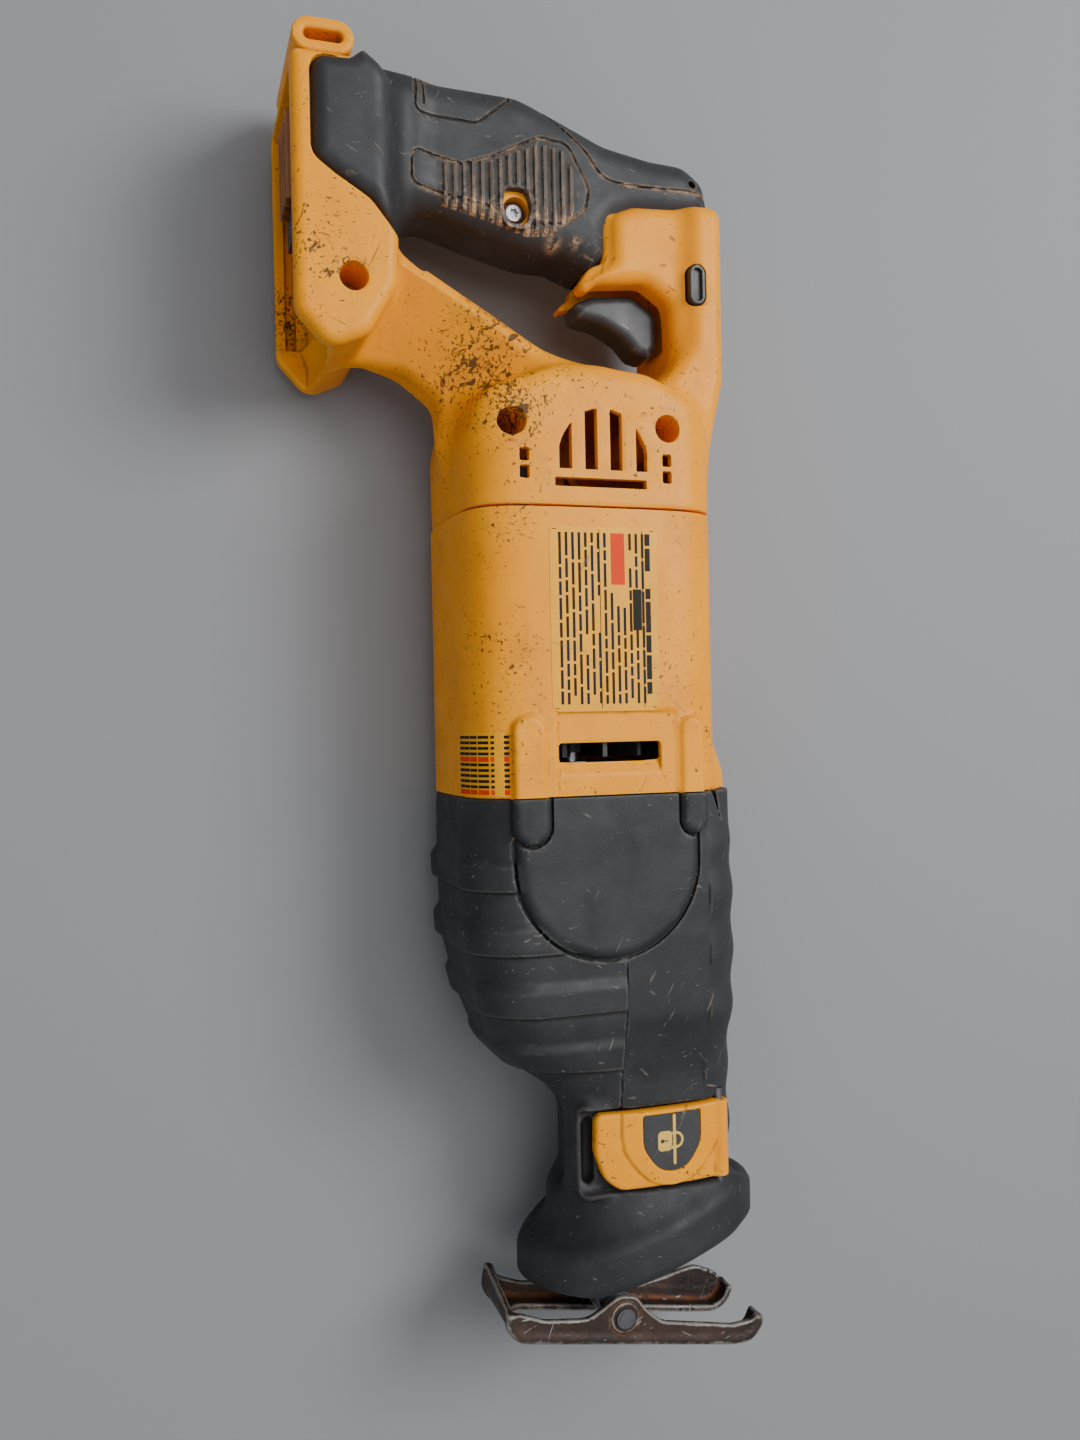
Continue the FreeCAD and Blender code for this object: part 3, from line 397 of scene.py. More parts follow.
# ------------------------------------------------------------------ handle
@dataclass
class HandleForm:
    """The handle's outlines and the fields of its mouldings, in millimetres."""

    foot_half: float = 34.0
    flat_half: float = 40.6
    body_half: float = 40.1
    half_depth: float = 46.6
    power: float = 4.6
    axis_y: float = 11.5
    trigger_gap: float = 8.9
    wells: tuple[Point, ...] = ((-145.0, -71.0), (-100.0, -20.0), (-100.0, 36.0))
    grip_screw: Point = (-181.0, -9.7)

    def __post_init__(self) -> None:
        """Build the outlines once."""
        self.foot = outline((-217.5, -90, 3), (-134, -90, 7), (-121.5, -79, 7), (-127, -66, 7),
                            (-144, -56, 7), (-177, -55, 5), (-217.5, -55, 3))
        self.strut = outline((-185, -76, 3), (-133, -76, 4), (-126, -66, 10), (-123, -50, 14),
                             (-113, -37, 10), (-96, -34, 4), (-98, 24, 4), (-120, 15, 6), (-129, -4, 14),
                             (-147, -34, 30), (-160, -55, 8), (-172, -57, 5), (-190, -60, 3))
        self.bar = outline((-186, 34, 5), (-182, 25, 6), (-165, 25, 4), (-153.2, 10.2, 1.6),
                           (-156.5, 20, 8), (-158.5, 38, 6), (-152, 47.5, 6), (-128, 48.5, 7),
                           (-119.5, 40, 8), (-119.5, 18, 6), (-97, 18, 4), (-92, 52, 3), (-100, 60, 16),
                           (-122, 66, 20), (-188, 66.4, 4))
        self.strip = outline((-176, 54.5, 3), (-136, 54.5, 14), (-118, 41, 16), (-100, 30, 6),
                             (-86, 50, 8), (-102, 61, 18), (-124, 66, 20), (-186, 66.4, 4), (-186, 55, 3))
        self.core = outline((-219, -72, 2), (-220, -50, 6), (-219.5, -6, 20), (-206, 26, 20),
                            (-202.5, 50, 10), (-196, 61, 5), (-180, 63, 2), (-160, 62, 2), (-160, 30, 2),
                            (-170, 20, 3), (-170.5, 0, 20), (-175, -22, 20), (-181, -42, 10),
                            (-178, -58, 5), (-178, -72, 2))
        self.head = outline((-60, -33, 2), (-96, -35.5, 10), (-111, -30, 12), (-119.5, -6, 16),
                            (-121, 12, 30), (-119.5, 30, 18), (-110, 50, 14), (-92, 58, 8), (-60, 58, 2))
        self.lip = Profile(smooth_path((-156.2, 15.4), (-160.8, 18.6), (-165, 24.5), (-181, 25.5)),
                           closed=False)
        self.short_lip = Profile(smooth_path((-161.5, 20.5), (-165, 25), (-181, 26)), closed=False)
        self.ridge = (np.array([-157.0, -60.0]), np.array([-126.0, -6.0]))
        self.pad = outline((-215.5, -84, 6), (-217, -70, 2), (-240, -62, 2), (-240, -44, 2), (-150, -44, 2),
                           (-161, -57.5, 3), (-170.5, -65, 10), (-177.5, -76.5, 9), (-183, -84, 6))
        self.trigger_room = outline((-146, 10, 1), (-159, 14.4, 1), (-169, 22.5, 1), (-177, 33, 2),
                                    (-176, 51, 2), (-160, 51, 2), (-140, 51, 2), (-131.5, 45, 2), (-134, 30, 2))
        self.cover_outline = outline(
            (-222, -70, 4), (-226, -60, 3), (-225, -50, 6), (-223.3, -36, 20), (-222.8, -8, 20),
            (-217, 7, 16), (-209.5, 25, 20), (-206, 43, 16), (-205.3, 56, 9), (-199, 64.5, 8), (-186.5, 67, 2),
            (-183.5, 58, 3), (-182.5, 34, 6), (-179.5, 27, 6), (-166.5, 25.5, 4), (-163, 19, 2),
            (-167.3, 8, 8), (-167.3, -3, 20), (-172, -22, 20), (-177.6, -41, 12), (-176.2, -54, 6),
            (-172, -60, 3), (-178, -70, 4))
        self.rear_block = outline((-216.0, -83.5, 5), (-216.9, -70.5, 3), (-220.3, -66.2, 1.2),
                                  (-214.5, -58.5, 6), (-212, -46, 5), (-178, -46, 5), (-163.5, -57.5, 4),
                                  (-171, -64.5, 10), (-178, -76.3, 9), (-183.5, -83.5, 6))
        self.rib_panel = outline((-196.5, -48, 3), (-193.5, -30, 4), (-197, -20, 8), (-206.3, -2, 7),
                                 (-205.5, 9, 5), (-197, 13.5, 5), (-190, 17, 5), (-182.5, 15.5, 4),
                                 (-176.8, 8, 5), (-176, -6, 10), (-180.5, -22, 8), (-184.5, -48, 3))
        self.rib_area = outline((-194, -39, 2), (-197, -20, 8), (-205, -2, 6), (-204, 8, 5), (-196, 12.4, 5),
                                (-188, 14.4, 4), (-179.5, 12, 3), (-171.5, 4, 4), (-170.5, -6, 8),
                                (-174.5, -20, 8), (-179, -39, 2))
        self.top_panel = outline((-224.6, -45.5, 2), (-209, -46.5, 3), (-208.3, -24, 5), (-219, -11.5, 3),
                                 (-230, -12, 2), (-230, -45, 2))
        self.cap_line = Profile(smooth_path((-226, -7), (-219.5, -1.5), (-211, 8), (-204, 15.5), (-196, 22),
                                            (-193.4, 30), (-193, 45), (-193.2, 62), (-193.5, 70)), closed=False)
        self.keyhole = outline((-187.2, -14.4, 2), (-187.6, -6.0, 4.4), (-181, -4.8, 5), (-174.4, -6.2, 3),
                               (-174.8, -13.8, 3), (-181, -15.4, 5))
        self.vent_line = Profile(smooth_path((-80.5, -6), (-91, -4.5), (-98, 0), (-101.5, 8), (-102, 15),
                                             (-98.5, 22.5), (-91.5, 27), (-80.5, 28.5)), closed=False)

    def body_section(self, y: Array, z: Array) -> Array:
        """Return the signed distance to the body's rounded, flat-sided section."""
        a = np.maximum(np.abs(y - self.axis_y) / self.half_depth, 0.001)
        b = np.maximum(np.abs(z) / self.body_half, 0.001)
        return ((a ** self.power + b ** self.power) ** (1 / self.power) - 1.0) * 40.7

    def outer(self, x: Array, y: Array, z: Array) -> Array:
        """Return the shell's outside, before its openings."""
        height = np.abs(z)
        foot = plate(self.foot(x, y), height - self.foot_half, 4.0)
        start, end = self.ridge
        along = (end - start) / np.linalg.norm(end - start)
        across = (x - start[0]) * along[1] - (y - start[1]) * along[0]
        travel = (x - start[0]) * along[0] + (y - start[1]) * along[1]
        crest = 25.5 + 4.5 * ramp(travel, 5, 60)
        slope = crest - 0.78 * np.maximum(across, 0) - 0.25 * np.maximum(-across, 0)
        strut = meet(plate(self.strut(x, y), height - 30, 9.0), (height - slope) * 0.8, 3.0)
        bar = plate(self.bar(x, y), height - 19.5, 5.0)
        strip = plate(self.strip(x, y), height - 23.5, 4.0)
        core = plate(self.core(x, y), height - 14.2, 8.0)
        bar = union(union(bar, strip, 7.0), core, 2.0)
        head = plate(self.head(x, y), height - self.flat_half, 7.0)
        head = meet(head, self.body_section(y, z), 3.0)
        lip = plate(self.lip(x, y) - 2.0, np.maximum(z - 15.5, 8.0 - z), 1.6)
        lip = union(lip, plate(self.short_lip(x, y) - 2.0, height - 15.5, 1.6), 1.0)
        whole = union(union(union(strut, bar, 9.0), head, 12.0), foot, 5.0)
        return meet(union(whole, lip, 2.0), -89.9 - y, 0.4)

    def loop(self, x: Array, y: Array, z: Array) -> Array:
        """Return the hanging loop behind the foot."""
        return plate(np.abs(self._oval(x, y)) - 1.9, np.abs(z) - 25.0, 1.2)

    def _oval(self, x: Array, y: Array) -> Array:
        """Return the distance to the loop's middle line, an upright oval."""
        reach = np.maximum(np.abs(y + 78.0) - 4.6, 0)
        return np.sqrt((x + 226.8) ** 2 + reach ** 2) - 3.8

    def vents(self, x: Array, y: Array, z: Array) -> Array:
        """Return the cooling slots beside the motor."""
        arch = (np.sqrt(((x + 84.6) / 21.0) ** 2 + ((y - 11.9) / 17.0) ** 2) - 1) * 17.0
        posts = np.full_like(y, 60.0)
        for low, high in ((-15.9, -11.4), (-6.6, -2.3), (2.5, 6.9), (12.0, 16.1)):
            posts = np.minimum(posts, np.abs(y - self.axis_y - 0.4 - (low + high) / 2) - (high - low) / 2)
        slots = common(arch, posts, x + 84.6, 29 - z)
        slots = union(slots, block(x, y, z, (-81.6, -5.6, 29), (-78.6, 27.6, 60), 0.6))
        for low in (-17.8, 33.8):
            for start in (-91.0, -85.2):
                slots = union(slots, block(x, y, z, (start, low, 24), (start + 4.2, low + 3.2, 60), 0.5))
        return slots

    def shell(self, x: Array, y: Array, z: Array, side: float = 1.0) -> Array:
        """Return the yellow shells with their openings.

        Args:
            side: 1 for the side with the screw wells, -1 for the plain side.
        """
        whole = union(self.outer(x, y, z), self.loop(x, y, z), 1.5)
        tall = z * side
        under = 30.8 - 2.1 * np.maximum(y + 62.5, 0)
        whole = carve(whole, np.maximum(self.pad(x, y), (under - np.abs(z)) * 0.5), 0.3)
        dome = away(x, y, -85.0, 11.5)
        groove = self.vent_line(x, y) - 0.55
        whole = carve(whole, np.maximum(groove, 40.3 - tall), 0.3)
        whole = carve(whole, common(np.abs(dome - 25.5) - 0.5, 40.4 - tall, x + 90), 0.3)
        inside = np.maximum(self.outer(x, y, z) + 3.2, -117.0 - x)
        for spot_x, spot_y in self.wells[1:]:
            inside = np.maximum(inside, 7.2 - away(x, y, spot_x, spot_y))
        whole = carve(whole, inside, 0.0)
        if side > 0:
            for spot_x, spot_y in self.wells:
                hole = away(x, y, spot_x, spot_y) - 4.7
                whole = carve(whole, np.maximum(hole, 12.5 - z), 0.6)
            seat = away(x, y, *self.grip_screw) - 4.6
            whole = carve(whole, np.maximum(seat, 9.0 - z), 0.3)
        whole = carve(whole, self.vents(x, y, np.abs(z)), 0.4)
        battery = block(x, y, z, (-214.5, -96, -27), (-137.5, -78.5, 27), 1.0)
        rails = block(x, y, z, (-214.5, -86.5, -30.5), (-137.5, -82.5, 30.5), 0.4)
        latch = np.sqrt((x + 128.0) ** 2 + (y + 96.0) ** 2 + (np.abs(z) * 0.35) ** 2) - 19.5
        trigger_room = np.maximum(self.trigger_room(x, y), np.abs(z) - self.trigger_gap)
        lock = plate(self._lock_oval(x, y) - 0.35, 0 * z - 9, 0.1)
        whole = cut(whole, (battery, 0.8), (rails, 0.3), (np.maximum(latch, np.abs(z) - 26), 1.2),
                    (trigger_room, 0.6), (lock, 0.4))
        return meet(whole, x + 72.35, 0.9)

    def _lock_oval(self, x: Array, y: Array) -> Array:
        """Return the distance to the lock-off button's upright oval."""
        reach = np.maximum(np.abs(x + 157.3) - 4.2, 0)
        return np.sqrt(reach ** 2 + (y - 56.0) ** 2) - 3.1

    def button(self, x: Array, y: Array, z: Array) -> Array:
        """Return the lock-off button: an oval bar with a dished end."""
        oval = self._lock_oval(x, y)
        bar = plate(oval + 0.1, np.abs(z) - 24.15, 0.5)
        dish = np.maximum(oval + 1.35, 22.6 - np.abs(z))
        return carve(bar, dish, 0.4)

    def ribs(self, x: Array, y: Array) -> Array:
        """Return the distance to the grip's cross ribs, in their own panel."""
        phase = np.mod(y + 37.4, 3.28) - 1.64
        return np.maximum(np.abs(phase) - 0.62, self.rib_area(x, y) + 1.4)

    def cover(self, x: Array, y: Array, z: Array) -> Array:
        """Return the rubber cover of the grip, with its panels, ribs and screw recess."""
        height = np.abs(z)
        swell = 17.3 + 1.2 * ramp(y, 20, 50) + 1.5 * ramp(-y, 38, 46)
        body = plate(self.cover_outline(x, y), height - swell, 10.0)
        skirt = plate(self.rear_block(x, y), height - 35.0, 5.5)
        slope = (y + 59.5) * 0.90 + (height - 35.0) * 0.43
        skirt = meet(skirt, slope, 4.0)
        whole = union(body, skirt, 5.0)
        skin = -(whole + 0.75)
        groove = np.minimum(np.abs(self.rib_panel(x, y)), np.abs(self.top_panel(x, y))) - 0.42
        groove = np.minimum(groove, self.cap_line(x, y) - 0.42)
        groove = common(groove, 4.0 - height, -49.5 - y)
        whole = carve(whole, np.maximum(groove, skin), 0.25)
        raised = common(self.ribs(x, y), whole - 0.95, 8.0 - z)
        whole = union(whole, np.maximum(raised, z - 19.6), 0.35)
        mark = np.maximum(block(x, y, 0 * z, (-223, -43.6, -1), (-212, -42.9, 1)), 8.0 - z)
        whole = carve(whole, np.maximum(mark, skin), 0.1)
        recess = plate(self.keyhole(x, y), 9.2 - z, 0.6)
        whole = carve(whole, recess, 0.8)
        rim = np.maximum(np.abs(self.keyhole(x, y) - 0.7) - 0.7, np.abs(z - 16.6) - 1.1)
        whole = union(whole, rim, 0.6)
        notch = np.minimum(away(x, y, -221.0, -3.0), away(x, y, -219.0, 1.2)) - 1.15
        whole = carve(whole, np.maximum(notch, 2.0 - z), 0.4)
        eyelet = away(x, y, -196.5, 57.6) - 1.5
        whole = carve(whole, np.maximum(eyelet, 8.0 - z), 0.5)
        return carve(whole, np.maximum(self.trigger_room(x, y), height - self.trigger_gap), 0.3)


# ------------------------------------------------------------------ body and boot
@dataclass
class BodyForm:
    """The motor housing's and the nose boot's outlines and fields."""

    handle: HandleForm
    rear: float = -71.65
    front: float = 26.0
    dome: Point = (49.0, 12.0)
    dome_radius: float = 33.0
    dome_height: float = 39.3
    edge_radius: float = 20.0
    front_end: float = 186.0
    ridge_height: float = 40.95

    def __post_init__(self) -> None:
        """Build the outlines once."""
        self.fairing = outline((-8, 48, 3), (2, 55.5, 14), (10, 63, 14), (20, 66.5, 10), (40, 67.5, 3),
                               (40, 40, 3), (-8, 40, 3))
        self.label = outline((-65, -8.5, 2.5), (-65, 30.5, 2.5), (-2.5, 30.5, 2.5), (-2.5, -8.5, 2.5))
        self.boot_side = outline((-20, -34.8, 2), (50, -35.6, 20), (78, -34.8, 26), (100, -29.6, 24),
                                 (117, -23.4, 15), (131, -3.5, 14), (143, 7.5, 12), (230, 7.5, 6),
                                 (230, 66, 6), (150, 66, 10), (90, 65.2, 30), (-20, 64.5, 2))
        self.boot_top = outline((-20, -37.0, 2), (76, -36.8, 20), (104, -35, 20), (126, -28.9, 20),
                                (150, -28.5, 10), (230, -28, 4), (230, 28, 4), (150, 28.5, 10),
                                (126, 28.9, 20), (104, 35, 20), (76, 36.8, 20), (-20, 37.0, 2))

    def housing(self, x: Array, y: Array, z: Array) -> Array:
        """Return the motor housing."""
        section = self.handle.body_section(y, z)
        tube = plate(section, np.maximum(self.rear - x, x - self.front), 0.7)
        fairing = plate(self.fairing(x, y), np.abs(z) - 21.0, 9.0)
        whole = union(tube, np.maximum(fairing, x - self.front), 6.0)
        recess = block(x, y, z, (-3, -7.2, 39.2), (40, 37.2, 60), 1.4)
        whole = carve(whole, recess, 0.8)
        for centre, half in ((-16.6, 5.6), (42.6, 4.3)):
            stem = np.sqrt(np.maximum(4.0 - x, 0) ** 2 + (y - centre) ** 2) - half
            ridge = np.maximum(plate(stem, np.maximum(z - self.ridge_height, 34 - z), 1.6), x - self.front)
            whole = union(whole, ridge, 1.5)
        window = block(x, y, z, (8.0, -6.2, 30), (14.2, 31.0, 60), 1.2)
        sill = np.maximum(block(x, y, z, (12.5, -6.0, 36), (21.5, 31.0, 60), 1.0), 36.2 + (x - 12.5) * 0.47 - z)
        hollow = common(section + 3.2, self.rear + 4 - x, x - self.front + 2)
        return cut(whole, (window, 0.5), (sill, 0.4), (hollow, 0.0))

    def boot(self, x: Array, y: Array, z: Array) -> Array:
        """Return the rubber boot over the gear case and nose."""
        height = np.abs(z)
        side = self.boot_side(x, y)
        top = self.boot_top(x, z)
        swell = self._ripple(x, y, height)
        body = self._rounded_meet(side - swell, top - swell * 0.6, self.edge_radius)
        skin = self.handle.body_section(y, z) - 0.7 - 0.4 * np.maximum(x - 27.0, 0) - 30 * ramp(y, 42, 52)
        body = meet(meet(body, skin, 2.0), x - self.front_end, 1.0)
        bulge = self._bulge(x, y)
        dome = plate(bulge, height - self.dome_height, 3.6)
        body = union(body, np.maximum(dome, 26.2 - x), 0.9)
        lap = np.abs(bulge - 0.7) - 0.55
        body = carve(body, common(lap, 35.4 - height, 40.0 - x), 0.5)
        for centre, half in ((-16.0, 6.5), (43.4, 5.0)):
            reach = np.sqrt(np.maximum(x - 35.6, 0) ** 2 + (y - centre) ** 2) - half
            body = carve(body, np.maximum(np.abs(reach - 0.5) - 0.5, 37.6 - height), 0.6)
            boss = np.maximum(plate(reach, height - self.ridge_height, 2.6), 26.2 - x)
            body = union(body, boss, 0.6)
        guard = block(x, y, z, (134.5, 3.4, 4.0), (169.5, 16.0, 27.0), 4.0)
        body = union(body, guard, 4.0)
        case = body + 3.6
        flange = self._flange(x, y, z)
        body = union(body, flange, 7.0)
        body = meet(body, 26.2 - x, 0.5)
        mouth = (np.sqrt(((y - 34.0) / 25.0) ** 2 + (z / 20.5) ** 2) - 1) * 21.0
        body = carve(body, np.maximum(mouth, 168.0 - x), 1.5)
        body = self._grooves(body, x, y, z)
        tray = block(x, y, z, (133, -4, 14), (171, 66, 44), 2.0)
        body = carve(body, np.maximum(meet(case, x - 172.0, 1.0), -tray), 0.0)
        tear = np.abs(y - 52.5 - 0.32 * (x - 26.0)) - 0.09 * np.maximum(37.0 - x, 0)
        body = carve(body, common(tear, 29.0 - z, x - 37.0), 0.3)
        pocket = block(x, y, z, (137.3, -14, 22.2), (167.0, 60.9, 60), 3.0)
        scoop = block(x, y, z, (140.4, 4.9, 17.5), (164.0, 9.5, 60), 2.6)
        return cut(body, (pocket, 1.2), (scoop, 1.2))

    def case(self, x: Array, y: Array, z: Array) -> Array:
        """Return the cast gear case, which fills the boot with a wall of its own."""
        side = self.boot_side(x, y)
        top = self.boot_top(x, z)
        body = self._rounded_meet(side, top, self.edge_radius)
        skin = union(body, plate(self._bulge(x, y), np.abs(z) - self.dome_height, 3.6), 0.9) + 3.9
        body = meet(skin, np.maximum(26.8 - x, x - 176.0), 1.0)
        inside = np.maximum(skin + 3.0, x - 84.0)
        way_radius = np.where(x > 133.0, 13.2, 10.2)
        plunger_way = np.maximum(np.sqrt((y - 38.0) ** 2 + z ** 2) - way_radius, 60.0 - x)
        mouth = np.maximum((np.sqrt(((y - 34.0) / 26.0) ** 2 + (z / 20.5) ** 2) - 1) * 20.0, 160.0 - x)
        pocket = block(x, y, z, (132.7, -14, 13.7), (171.3, 66.3, 60), 2.0)
        inlet = np.maximum(np.sqrt((y - 11.5) ** 2 + z ** 2) - 11.2, x - 40.0)
        return cut(body, *((tool, 0.5) for tool in (inside, plunger_way, mouth, pocket, inlet)))

    def _bulge(self, x: Array, y: Array) -> Array:
        """Return the distance to the dome's outline: round in front, straight behind its centre."""
        return np.sqrt(np.maximum(x - self.dome[0], 0) ** 2 + (y - self.dome[1]) ** 2) - self.dome_radius

    def _rounded_meet(self, a: Array, b: Array, radius: float) -> Array:
        """Return what two fields share, with a round edge."""
        outside = np.sqrt(np.maximum(a + radius, 0) ** 2 + np.maximum(b + radius, 0) ** 2)
        return outside + np.minimum(np.maximum(a, b) + radius, 0) - radius

    def face(self, y: float) -> float:
        """Return the height of the housing's right-hand face at a place across it."""
        side = self.handle
        share = min(abs(y - side.axis_y) / side.half_depth, 1.0)
        return side.body_half * (1 - share ** side.power) ** (1 / side.power)

    def flank(self, z: float) -> float:
        """Return how far down the housing's lower edge lies at a height."""
        side = self.handle
        return side.axis_y - side.half_depth * (1 - (z / side.body_half) ** side.power) ** (1 / side.power)

    def flank_normal(self, z: float) -> tuple[float, float]:
        """Return the edge's outward direction at a height, as its y and z parts."""
        side = self.handle
        share_y, share_z = (side.axis_y - self.flank(z)) / side.half_depth, z / side.body_half
        normal = np.array([-(share_y ** 3.6) / side.half_depth, share_z ** 3.6 / side.body_half])
        normal /= np.linalg.norm(normal)
        return float(normal[0]), float(normal[1])

    def rating_plate(self, x: Array, y: Array, z: Array) -> Array:
        """Return the thin film laid on the housing's face."""
        section = self.handle.body_section(y, z)
        return common(self.label(x, y), section - 0.16, -5.0 - section)

    def side_plate(self, x: Array, y: Array, z: Array) -> Array:
        """Return the thin film wrapped round the housing's lower edge."""
        section = self.handle.body_section(y, z)
        span = common(np.abs(x - 14.6) - 10.8, y + 24.6, 16.5 - z)
        return common(span, section - 0.14, -5.0 - section)

    def _ripple(self, x: Array, y: Array, height: Array) -> Array:
        """Return how far the grip rings stand out: they rise slowly and end in a step."""
        phase = np.mod(x - 58.0, 21.6) / 21.6
        ring = ramp(phase, 0.40, 0.62) * (1 - ramp(phase, 0.965, 1.0))
        reach = ramp(x, 37, 43) * (1 - ramp(x, 126, 128))
        below = 1 - ramp(y, 17.4, 18.6)
        above = ramp(y, 49.3, 50.3)
        wave = 0.5 - 0.5 * np.cos(2 * math.pi * (x - 52.0) / 21.6)
        strength = 1.1 + 1.2 * ramp(height, 14, 28)
        return strength * ring * reach * below + 0.9 * wave * above * ramp(x, 36, 50) * (1 - ramp(x, 150, 165))

    def _flange(self, x: Array, y: Array, z: Array) -> Array:
        """Return the flared lip around the nose, tilted a little."""
        dy, dz = (y - 33.2), z
        radial = np.sqrt((dy / 45.2) ** 2 + (dz / 35.2) ** 2)
        distance = (radial - 1) * 40.0
        near = ramp(np.abs(z), 6, 33)
        lean = x + 0.31 * (y - 22.0) * near + 0.21 * (y - 36.0) * (1 - near)
        disc = plate(distance, np.abs(lean - 189.5) - 9.0, 4.5)
        neck = plate((np.sqrt((dy / 33.5) ** 2 + (dz / 28.5) ** 2) - 1) * 30.0, np.abs(x - 180) - 10, 5.0)
        whole = union(disc, neck, 9.0)
        inner = (np.sqrt((dy / 41.5) ** 2 + (dz / 30.5) ** 2) - 1) * 36.0
        bell = meet(inner, 191.5 - lean, 4.0)
        throat = np.maximum((np.sqrt((dy / 26.0) ** 2 + (dz / 21.0) ** 2) - 1) * 22.0, 158 - x)
        return carve(carve(whole, bell, 2.5), throat, 2.0)

    def _grooves(self, body: Array, x: Array, y: Array, z: Array) -> Array:
        """Cut the panel lines of the boot."""
        height = np.abs(z)
        line = np.abs(y - 18.2) - 0.3
        span = np.maximum(84.0 - x, x - 137.0)
        cut_line = common(line, span, 24.0 - height)
        skin = np.maximum(cut_line, -(body + 0.6))
        return carve(body, skin, 0.2)


# ------------------------------------------------------------------ small mouldings
@dataclass
class ControlForm:
    """The trigger's, lever's, badge's and padlock sign's fields."""

    def __post_init__(self) -> None:
        """Build the outlines once."""
        self.trigger_side = outline((-152.5, 14.2, 2.2), (-147.3, 15.5, 2.2), (-145.6, 25, 10), (-141, 33.5, 9),
                                    (-135.4, 38.5, 4), (-134.2, 43.5, 1.8), (-138, 47, 2), (-151, 47, 5),
                                    (-157.5, 37, 6), (-155.5, 21, 6))
        self.lever_side = outline((138.5, 8.6, 2.5), (152, 8.2, 10), (161.5, 11.5, 8), (165.6, 17, 6),
                                  (165.8, 57.5, 2), (138.4, 57.5, 1.5))
        self.shield = outline((139.8, 25.2, 1), (139.8, 47.8, 1), (151.5, 47.8, 8), (160.6, 41.5, 9),
                              (160.6, 31.5, 9), (151.5, 25.2, 8))
        self.collar = outline((137.0, 17.8, 1), (137.0, 55.2, 1), (152, 55.2, 14), (165.4, 44, 14),
                              (165.4, 29, 14), (152, 17.8, 14))

    def trigger(self, x: Array, y: Array, z: Array) -> Array:
        """Return the trigger with its soft, rounded finger face."""
        return plate(self.trigger_side(x, y), np.abs(z) - 8.2, 3.6)

    def lever_skin(self, y: Array) -> Array:
        """Return the height of the lever's gently curved face."""
        return 29.4 - 0.0042 * np.maximum(30 - y, 0) ** 2 - 0.0052 * np.maximum(y - 36, 0) ** 2

    def lever(self, x: Array, y: Array, z: Array) -> Array:
        """Return the clamp lever with its raised arc and the badge's seat."""
        skin = self.lever_skin(y)
        body = plate(self.lever_side(x, y), np.maximum(z - skin, skin - 4.6 - z), 1.3)
        arc = plate(np.maximum(self.collar(x, y), 138.6 - x), np.maximum(z - skin - 0.7, skin - 3 - z), 0.7)
        body = union(body, arc, 0.8)
        knuckle = np.sqrt((y - 56.5) ** 2 + (z - 25.5) ** 2) - 3.3
        knuckle = plate(knuckle, np.abs(x - 152.1) - 13.6, 0.6)
        body = union(body, knuckle, 1.0)
        seat = np.maximum(self.shield(x, y), skin + 0.1 - z)
        return carve(body, seat, 0.2)

    def badge(self, x: Array, y: Array, z: Array) -> Array:
        """Return the dark shield let into the lever."""
        skin = self.lever_skin(y)
        return plate(self.shield(x, y) + 0.25, np.maximum(z - skin - 0.62, skin + 0.12 - z), 0.25)

    def padlock(self, x: Array, y: Array, z: Array) -> Array:
        """Return the raised padlock sign on the badge."""
        skin = self.lever_skin(y)
        across, along = y - 35.6, x - 149.6
        plate_flat = block(along, across, 0 * z, (-3.6, -5.0, -1), (3.6, 0.6, 1), 1.6)
        hoop = np.abs(np.sqrt(along ** 2 + np.maximum(across - 2.0, 0) ** 2) - 2.5) - 0.45
        hoop = common(hoop, 0.2 - across, across - 5.4)
        keyhole = np.minimum(np.sqrt((across + 3.2) ** 2 + along ** 2) - 0.75,
                             block(along, across, 0 * z, (-0.25, -3.2, -1), (0.25, -1.0, 1)))
        bar = block(along, across, 0 * z, (-9.2, 0.9, -1), (8.6, 2.0, 1), 0.4)
        sign = np.minimum(np.minimum(np.maximum(plate_flat, -keyhole), hoop), bar)
        return common(sign, z - skin - 0.78, skin + 0.3 - z)


